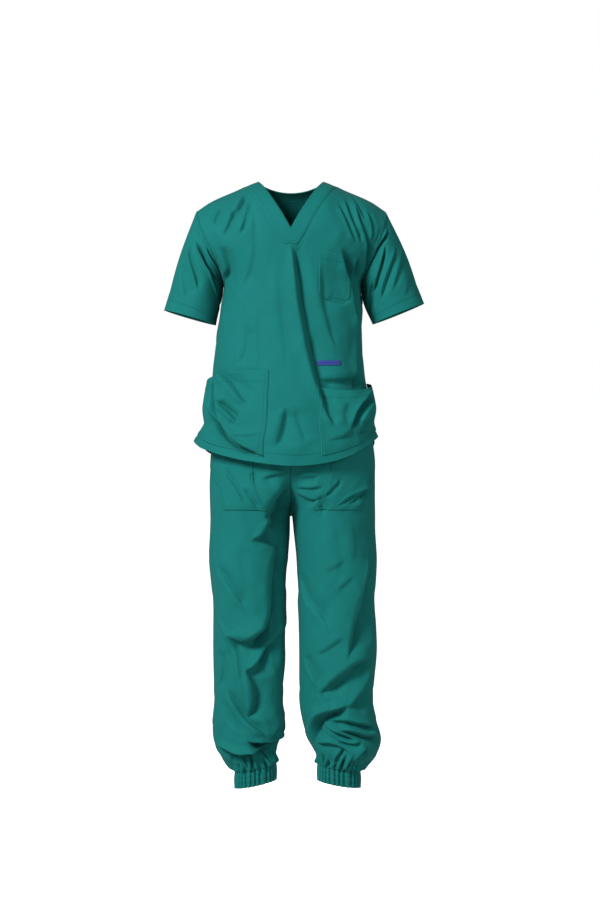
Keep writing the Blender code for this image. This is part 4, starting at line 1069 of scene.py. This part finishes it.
def chestCloth(s, t):
    size = pocketSizes["chest"]
    wide = size["x1"] - size["x0"]
    chamfer = size["chamfer"] * np.clip(1.0 - t / size["chamferHigh"], 0.0, 1.0)      # lower corners cut off
    x = (size["x0"] + size["x1"]) / 2 + wide * (s - 0.5) * (1.0 - 2.0 * chamfer / wide)
    z = size["bottom"] + (size["top"] - size["bottom"]) * t - size["slant"] * s
    across, up = torsoShare(x, z)
    gape = size["gape"] * t * np.sin(math.pi * s)
    return torsoCloth("front", across, up, pocketSizes["lift"] + gape), stack(x, z)


def makeChestPocket():
    size = pocketSizes["chest"]
    wide, high = size["x1"] - size["x0"], size["top"] - size["bottom"]
    s, t = np.meshgrid(np.linspace(0.0, 1.0, 27), np.linspace(0.0, 1.0, 43))
    (points, _), uv = chestCloth(s, t)
    edge = edgeMark((1.0 - t) * high, t * high, s * wide, (1.0 - s) * wide)
    clothSheet("cloth_chest_pocket", points, uv, fromAxis(0.0), "chest_pocket", edge=edge,
               wall=pocketSizes["wall"], flat=(0.066, 0.109), held="laid", rests_on=["cloth_top_front"])
    for inset in pocketSizes["insets"]:
        route = pocketRoute(inset / wide, inset / high, (0.995, 0.995), 0.03, (60, 40, 60))
        sew("top", *chestCloth(*route)[0])
    s = np.linspace(0.02, 0.98, 50)
    sew("top", *chestCloth(s, np.full_like(s, 1.0 - size["hem"] / high))[0])
    print("chest pocket done")


def hipPocketCloth(name, along, raised):
    size, lift, foot = pocketSizes[name], pocketSizes["lift"], pocketSizes["foot"]
    across = size["inner"] + (size["outer"] - size["inner"]) * along
    mouth = readPairs(size["mouth"], along)
    share = (mouth - hemHeight("front", across)) / panelHeight("front", across)
    up = foot + (share - foot) * raised
    hollow = np.sin(math.pi * np.clip(along, 0.0, 1.0) ** size["outward"]) ** 0.8 * smoothStep(raised / 0.55)
    corner = pocketSizes["cornerEase"] * (1.0 - raised) * along
    place = torsoPlace("front", across, torsoBare("front", across, up))
    sewn = smoothStep(along / 0.10) * smoothStep((1.0 - along) / 0.08) * smoothStep(raised / 0.10)
    points, normals = torsoCloth("front", across, up)
    inward = creaseField(hipLines[name], *place, 4.0 * quarter) * sewn
    inward = inward * outlineGuard(normals, torsoFade["guard"])
    stand = lift + corner + size["bulge"] * hollow
    stand = stand - np.minimum(inward, np.maximum(stand - lift, 0.0))
    return points + normals * stand[..., None], normals


def makeHipPockets():
    high = pocketSizes["high"]
    for name in names:
        size = pocketSizes[name]
        wide = abs(size["outer"] - size["inner"]) * quarter
        across, raised = np.meshgrid(np.linspace(0.0, 1.0, pocketSizes["columns"]),
                                     np.linspace(0.0, 1.0, pocketSizes["rows"]))
        points = hipPocketCloth(name, across, raised)[0]
        edge = edgeMark((1.0 - raised) * high, raised * high, across * wide, (1.0 - across) * wide)
        clothSheet("cloth_hip_pocket_" + name, points, stack(across * wide, raised * high),
                   lambda place: Vector((place.x * 0.3, -1.0, 0.0)), "hip_pocket_" + name, edge=edge,
                   wall=pocketSizes["wall"], flat=(0.20, 0.18), held="hung", rests_on=["cloth_top_front"])
        for inset in pocketSizes["insets"]:
            route = pocketRoute(inset / wide, inset / high, (0.995, 0.995), inset / high, (70, 90, 70))
            sew("top", *hipPocketCloth(name, *route))
        line = np.linspace(0.01, 0.99, 120)
        sew("top", *hipPocketCloth(name, line, np.full_like(line, 1.0 - pocketSizes["hemDeep"] / high)))
    print("hip pockets done")


labelSizes = {"x": 0.0855, "z": -0.4140, "width": 0.047, "height": 0.0115, "slant": 0.001, "lift": 0.0013,
              "wall": 0.0006}


def makeLabel():
    size = labelSizes
    s, t = np.meshgrid(np.linspace(-0.5, 0.5, 25), np.linspace(-0.5, 0.5, 8))
    x = size["x"] + size["width"] * s
    z = size["z"] + size["height"] * t - size["slant"] * s
    points = torsoCloth("front", *torsoShare(x, z), size["lift"])[0]
    edge = edgeMark((0.5 - np.abs(s)) * size["width"], (0.5 - np.abs(t)) * size["height"])
    clothSheet("ribbon_pocket_label", points, stack(x, z), fromAxis(0.0), "pocket_label", edge=edge,
               wall=size["wall"], material=ribbon, flat=(0.047, 0.0115), held="laid",
               rests_on=["cloth_top_front"])
    print("label done")


def legPlace(side, turned, points):
    return -facing[side] * turned * legCut["halfRound"], points[..., 2]


def legLinesOf(name):
    half, span = legCut["halfRound"], (legCut["foot"], legCut["top"])
    finders = {side: finder(lambda a, b: legBare(name, side, a, b), lambda a, b, p: legPlace(side, a, p),
                            (0.0, 1.0), span, legSizes[name]["sign"] * facing[side]) for side in sides}
    return placeCreases(legCreases[name], finders, half, 2.0 * half)


legLines = {name: legLinesOf(name) for name in names}
legFade = {"wave": 0.0015, "foot": 0.02, "joined": 0.03, "seam": 0.10, "hiddenFrom": -0.60, "hidden": 0.06,
           "hiddenShare": 0.9, "guard": 0.78}
centreSeam = {"top": -0.60, "bottom": -0.758, "halfWidth": 0.0045, "lift": -0.0026, "sag": 0.0006,
              "valleyTop": -0.630, "valleyFoot": -0.748, "valleyDeep": 0.018, "valleyWide": 0.021}


# how far the cloth sinks towards the seam between the legs
def centreValley(turned, z):
    size = centreSeam
    high = smoothStep((size["valleyTop"] - z) / 0.06) * smoothStep((z - size["valleyFoot"]) / 0.03)
    away = (1.0 - turned) * legCut["halfRound"]
    return size["valleyDeep"] * high * np.exp(-(away / size["valleyWide"]) ** 2)


def cuffRib(angle):
    uneven = cuffSizes["ribs"] * angle + 1.3 * np.sin(3 * angle + 0.4) + 0.9 * np.sin(8 * angle)
    return cuffSizes["ribDeep"] * (1.0 - 2.0 * (0.5 - 0.5 * np.cos(uneven)) ** 2.2)


# gathers: the cuff's own ribs at the foot, opening into uneven pleats above it
def gathers(name, side, turned, bare, above):
    cuff = legSizes[name]["cuff"]
    aboutCuff = np.arctan2((bare[..., 1] - cuff["middle"][1]) / cuff["halfDepth"],
                           (bare[..., 0] - cuff["middle"][0]) / cuff["halfWidth"])
    rib = cuffRib(aboutCuff) * smoothStep(1.0 - above / legCut["ribReach"])
    angle = -facing[side] * math.pi * turned
    pleat = (np.cos(19 * angle + 1.1 * np.sin(3 * angle + 0.7))
             + 0.6 * np.cos(31 * angle + 1.3 * np.sin(2 * angle)))
    reach = legCut["gatherReach"] * (0.75 + 0.35 * np.sin(5 * angle + 1.0))
    rise = np.clip(above / reach, 0.0, 1.0)
    return rib + legCut["gatherDeep"] * pleat * smoothStep(rise / 0.22) * smoothStep((1.0 - rise) / 0.7)


def legCloth(name, side, turned, z, lift=0.0):
    size = legSizes[name]
    bare = legBare(name, side, turned, z)
    normal = size["sign"] * facing[side] * normalsOf(lambda a, b: legBare(name, side, a, b), turned, z,
                                                     (0.0, 1.0, legCut["foot"], legCut["top"]))
    around, along = legPlace(side, turned, bare)
    inward = creaseField(legLines[name], around, along, 2.0 * legCut["halfRound"])
    fade, above = legFade, z - legCut["foot"]
    inward = inward + softWaves(around, along, size["seed"], fade["wave"])
    # left and right legs are sewn together above the crotch
    joined = smoothStep((z - legCut["crotch"]) / fade["joined"])
    inward = inward * smoothStep(above / fade["foot"])
    inward = inward * (1.0 - joined * (1.0 - smoothStep((1.0 - turned) / fade["seam"])))
    # little room is left under the top
    hidden = smoothStep((z - fade["hiddenFrom"]) / fade["hidden"])
    inward = inward * (1.0 - fade["hiddenShare"] * hidden) * outlineGuard(normal, fade["guard"])
    points = bare + normal * (lift + gathers(name, side, turned, bare, above) - inward)[..., None]
    points[..., 1] -= facing[side] * centreValley(turned, z)
    return points, normal


def legRows(side):
    foot = legCut["foot"]
    low = foot + np.array([0.0, 0.001, 0.0025, 0.0045, 0.007])
    stops = (low[-1], foot + legCut["footRows"], legCut["topRows"], legCut["top"])
    counts = zip(stops, stops[1:], legCut["rows"][side])
    return np.concatenate([low] + [np.linspace(start, end, count)[1:] for start, end, count in counts])


def makeLegs():
    wide, off = legCut["wide"], legCut["seamOff"]
    for name in names:
        for side in sides:
            turned, z = np.meshgrid(np.linspace(0.0, 1.0, legCut["columns"][side]), legRows(side))
            points = legCloth(name, side, turned, z)[0]
            title = side + "_" + name
            clothSheet("cloth_leg_" + title, points, stack(*legPlace(side, turned, points)),
                       fromAxis(legSizes[name]["sign"] * legCut["axis"]), "leg_" + title,
                       edge=edgeMark(turned * wide + off, (1.0 - turned) * wide + off), flat=(0.33, 0.90),
                       held="hung", rests_on=["cloth_waistband"], area=0.235)
    print("legs done")


# seam allowances pressed flat inside: one edge on each panel, the seam line between
seamTape = {"reach": 0.0055, "behind": -0.0017, "shoulderDrop": 0.00012, "hemClear": 0.002,
            "endClear": 0.001, "innerTop": -0.745}


def makeTape(name, places, restsOn):
    frontEdge, seamFront, backEdge, seamBack = places
    points = np.stack([frontEdge, (seamFront + seamBack) / 2, backEdge], axis=1)
    length = float(np.linalg.norm(np.diff(points[:, 1], axis=0), axis=1).sum())
    run = np.linspace(0.0, length, len(points))[:, None]
    inner = Vector((0.0, 0.0, points[:, 1].mean(axis=0)[2]))
    clothSheet("tape_" + name, points, stack(np.array([-1.0, 0.0, 1.0]) * seamTape["reach"], run),
               lambda place: place - inner, wall=pocketSizes["wall"], flat=(round(length, 3), 0.0115),
               held="stretched", rests_on=restsOn)


def makeTapes():
    reach, behind, clear = seamTape["reach"], seamTape["behind"], seamTape["endClear"]
    runs = (("outer", 0.0, legCut["top"] - clear, 220), ("inner", 1.0, seamTape["innerTop"], 150))
    for name, sign in (("left", -1.0), ("right", 1.0)):
        seam = np.full(90, sign)
        low = max(hemHeight(side, sign) for side in sides) + seamTape["hemClear"]
        high = low + (topEdge("front", np.array(sign)) - low) * topSizes["armpitRow"]
        z = np.linspace(low, high, 90)
        makeTape("side_" + name, [
            torsoCloth(side, across, (z - hemHeight(side, across)) / panelHeight(side, across), behind)[0]
            for side in sides for across in (seam * (1.0 - reach / quarter), seam)], panels)
        across = np.linspace(shoulderShare(0.100), 0.99, 50) * sign
        makeTape("shoulder_" + name, [
            torsoCloth(side, across, 1.0 - drop / panelHeight(side, across), behind)[0]
            for side in sides for drop in (seamTape["shoulderDrop"], 0.0)], panels)
        for seam, edge, high, count in runs:
            z = np.linspace(legCut["foot"] + clear, high, count)
            makeTape(seam + "_leg_" + name, [
                legCloth(name, side, np.full_like(z, turned), z, behind)[0]
                for side in sides for turned in (abs(edge - reach / legCut["halfRound"]), edge)],
                ["cloth_leg_front_" + name, "cloth_leg_back_" + name])
    print("seam tapes done")


# the felled seam where the two legs are joined, front and back, down to the crotch
def makeCentreSeams():
    size = centreSeam
    half = size["halfWidth"]
    z, s = np.meshgrid(np.linspace(size["bottom"], size["top"], 70), np.linspace(-1.0, 1.0, 7), indexing="ij")
    for side in sides:
        inner = np.ones_like(z)
        points = (legBare("left", side, inner, z) + legBare("right", side, inner, z)) / 2
        points[..., 0] += s * half
        points[..., 1] += facing[side] * (size["lift"] - size["sag"] * s ** 2 - centreValley(inner, z))
        clothSheet("cloth_centre_seam_" + side, points, stack(s * half, z), toward(0.0, facing[side], 0.0),
                   edge=edgeMark((1.0 - np.abs(s)) * half), wall=pocketSizes["wall"], flat=(0.2, 0.0102),
                   held="stretched", rests_on=["cloth_leg_%s_left" % side, "cloth_leg_%s_right" % side])
    print("centre seams done")


waistSizes = {"top": -0.424, "bottom": -0.460, "ripple": 0.0008, "ripples": 40, "radius": 0.13}


def makeWaistband():
    size = waistSizes
    angle = np.linspace(0.0, 2.0 * math.pi, 161)
    z = np.linspace(size["bottom"], size["top"], 15)[:, None]
    outer = np.where(np.cos(angle) < 0.0, legSizes["left"]["outer"][0], legSizes["right"]["outer"][0])
    deep = np.where(np.sin(angle) < 0.0, legSizes["left"]["front"][0], legSizes["left"]["back"][0])
    t = np.clip((z - size["bottom"]) / (size["top"] - size["bottom"]), 0.0, 1.0)
    ripple = size["ripple"] * np.cos(size["ripples"] * angle) * np.sin(math.pi * t) ** 0.5
    points = stack((outer + ripple) * np.cos(angle), (deep + ripple) * np.sin(angle), z)
    clothSheet("cloth_waistband", points, stack(angle * size["radius"], z), fromAxis(0.0), "waistband",
               closed=True, flat=(0.86, 0.036), held="gathered",
               rests_on=["cloth_leg_front_left", "cloth_leg_front_right"])
    print("waistband done")


sidePocketSizes = {
    "inner": 0.69, "foot": 0.31, "mouth": 0.06, "mouthTop": -0.640, "mouthHeight": 0.064, "bottom": -0.742,
    "top": -0.500, "wide": 0.14, "gape": 0.0016, "even": 0.76, "lift": 0.0008, "wall": 0.0006,
    "insets": (0.002, 0.0075), "stitchTops": (0.100, 0.13),
}


def sidePocketCloth(name, share, z):
    size = sidePocketSizes
    slant = smoothStep((size["mouthTop"] - z) / size["mouthHeight"])
    outer = size["mouth"] + (size["foot"] - size["mouth"]) * slant
    turned = outer + (size["inner"] - outer) * share
    return legCloth(name, "front", turned, z, size["lift"] + size["gape"] * (size["even"] - turned))


def makeSidePockets():
    size = sidePocketSizes
    wide, bottom = size["wide"], size["bottom"]
    for name in names:
        share, z = np.meshgrid(np.linspace(0.0, 1.0, 50), np.linspace(bottom, size["top"], 80))
        points = sidePocketCloth(name, share, z)[0]
        clothSheet("cloth_side_pocket_" + name, points, stack(share * wide, z), toward(0.0, -1.0, 0.0),
                   "side_pocket_" + name, edge=edgeMark(share * wide, (1.0 - share) * wide, z - bottom),
                   wall=size["wall"], flat=(0.17, 0.245), held="laid", rests_on=["cloth_leg_front_" + name])
        for inset in size["insets"]:
            across, rise = pocketRoute(inset / wide, inset, size["stitchTops"], inset, (60, 60, 90))
            sew("legs", *sidePocketCloth(name, across, bottom + rise))
    print("side pockets done")


# drop is 0 at the top of the cuff and 1 at its foot
def cuffPoint(name, angle, drop):
    cuff, size = legSizes[name]["cuff"], cuffSizes
    rib = cuffRib(angle) - size["tuck"] * np.clip(-drop / size["tuckReach"], 0.0, 1.0)
    channel = size["puff"] * np.abs(np.sin(math.pi * size["channels"] * np.maximum(drop, 0.0))) ** 0.7
    ruffle = size["ruffle"] * smoothStep((drop - 0.86) / 0.14) * np.sin(size["ribs"] * angle + 1.1)
    out = rib + channel + ruffle + size["swell"] * np.sin(math.pi * np.maximum(drop, 0.0))
    x = cuff["middle"][0] + (cuff["halfWidth"] + out) * np.cos(angle)
    y = cuff["middle"][1] + (cuff["halfDepth"] + out) * np.sin(angle)
    top = legCut["foot"] - seamGap - wallThickness / 2
    return stack(x, y, top - size["height"] * drop + cuff["tilt"] * (x - cuff["middle"][0]))


def makeCuffs():
    height = cuffSizes["height"]
    drops = np.concatenate([[-0.08, -0.05], np.linspace(0.0, 1.0, cuffSizes["rows"])])
    angle, drop = np.meshgrid(np.linspace(0.0, 2.0 * math.pi, cuffSizes["columns"]), drops)
    ring = np.linspace(0.0, 2.0 * math.pi, 500)
    uv = stack(angle * cuffSizes["radius"], -drop * height)
    edge = edgeMark(drop * height, (1.0 - drop) * height)
    for name in names:
        clothSheet("cloth_cuff_" + name, cuffPoint(name, angle, drop), uv,
                   fromAxis(*legSizes[name]["cuff"]["middle"]), "cuff_" + name, edge=edge, closed=True,
                   flat=(0.42, 0.036), held="gathered",
                   rests_on=["cloth_leg_front_" + name, "cloth_leg_back_" + name])
        for k in range(1, cuffSizes["channels"]):
            line = cuffPoint(name, ring, np.full_like(ring, k / cuffSizes["channels"]))
            sew("legs", line, stack(np.cos(ring), np.sin(ring), 0.0))
    print("cuffs done")


buildStudio()
makeTorso()
makeSleeves()
makeNeckBand()
makeChestPocket()
makeHipPockets()
makeLabel()
makeLegs()
makeTapes()
makeCentreSeams()
makeWaistband()
makeSidePockets()
makeCuffs()
finishStitching()
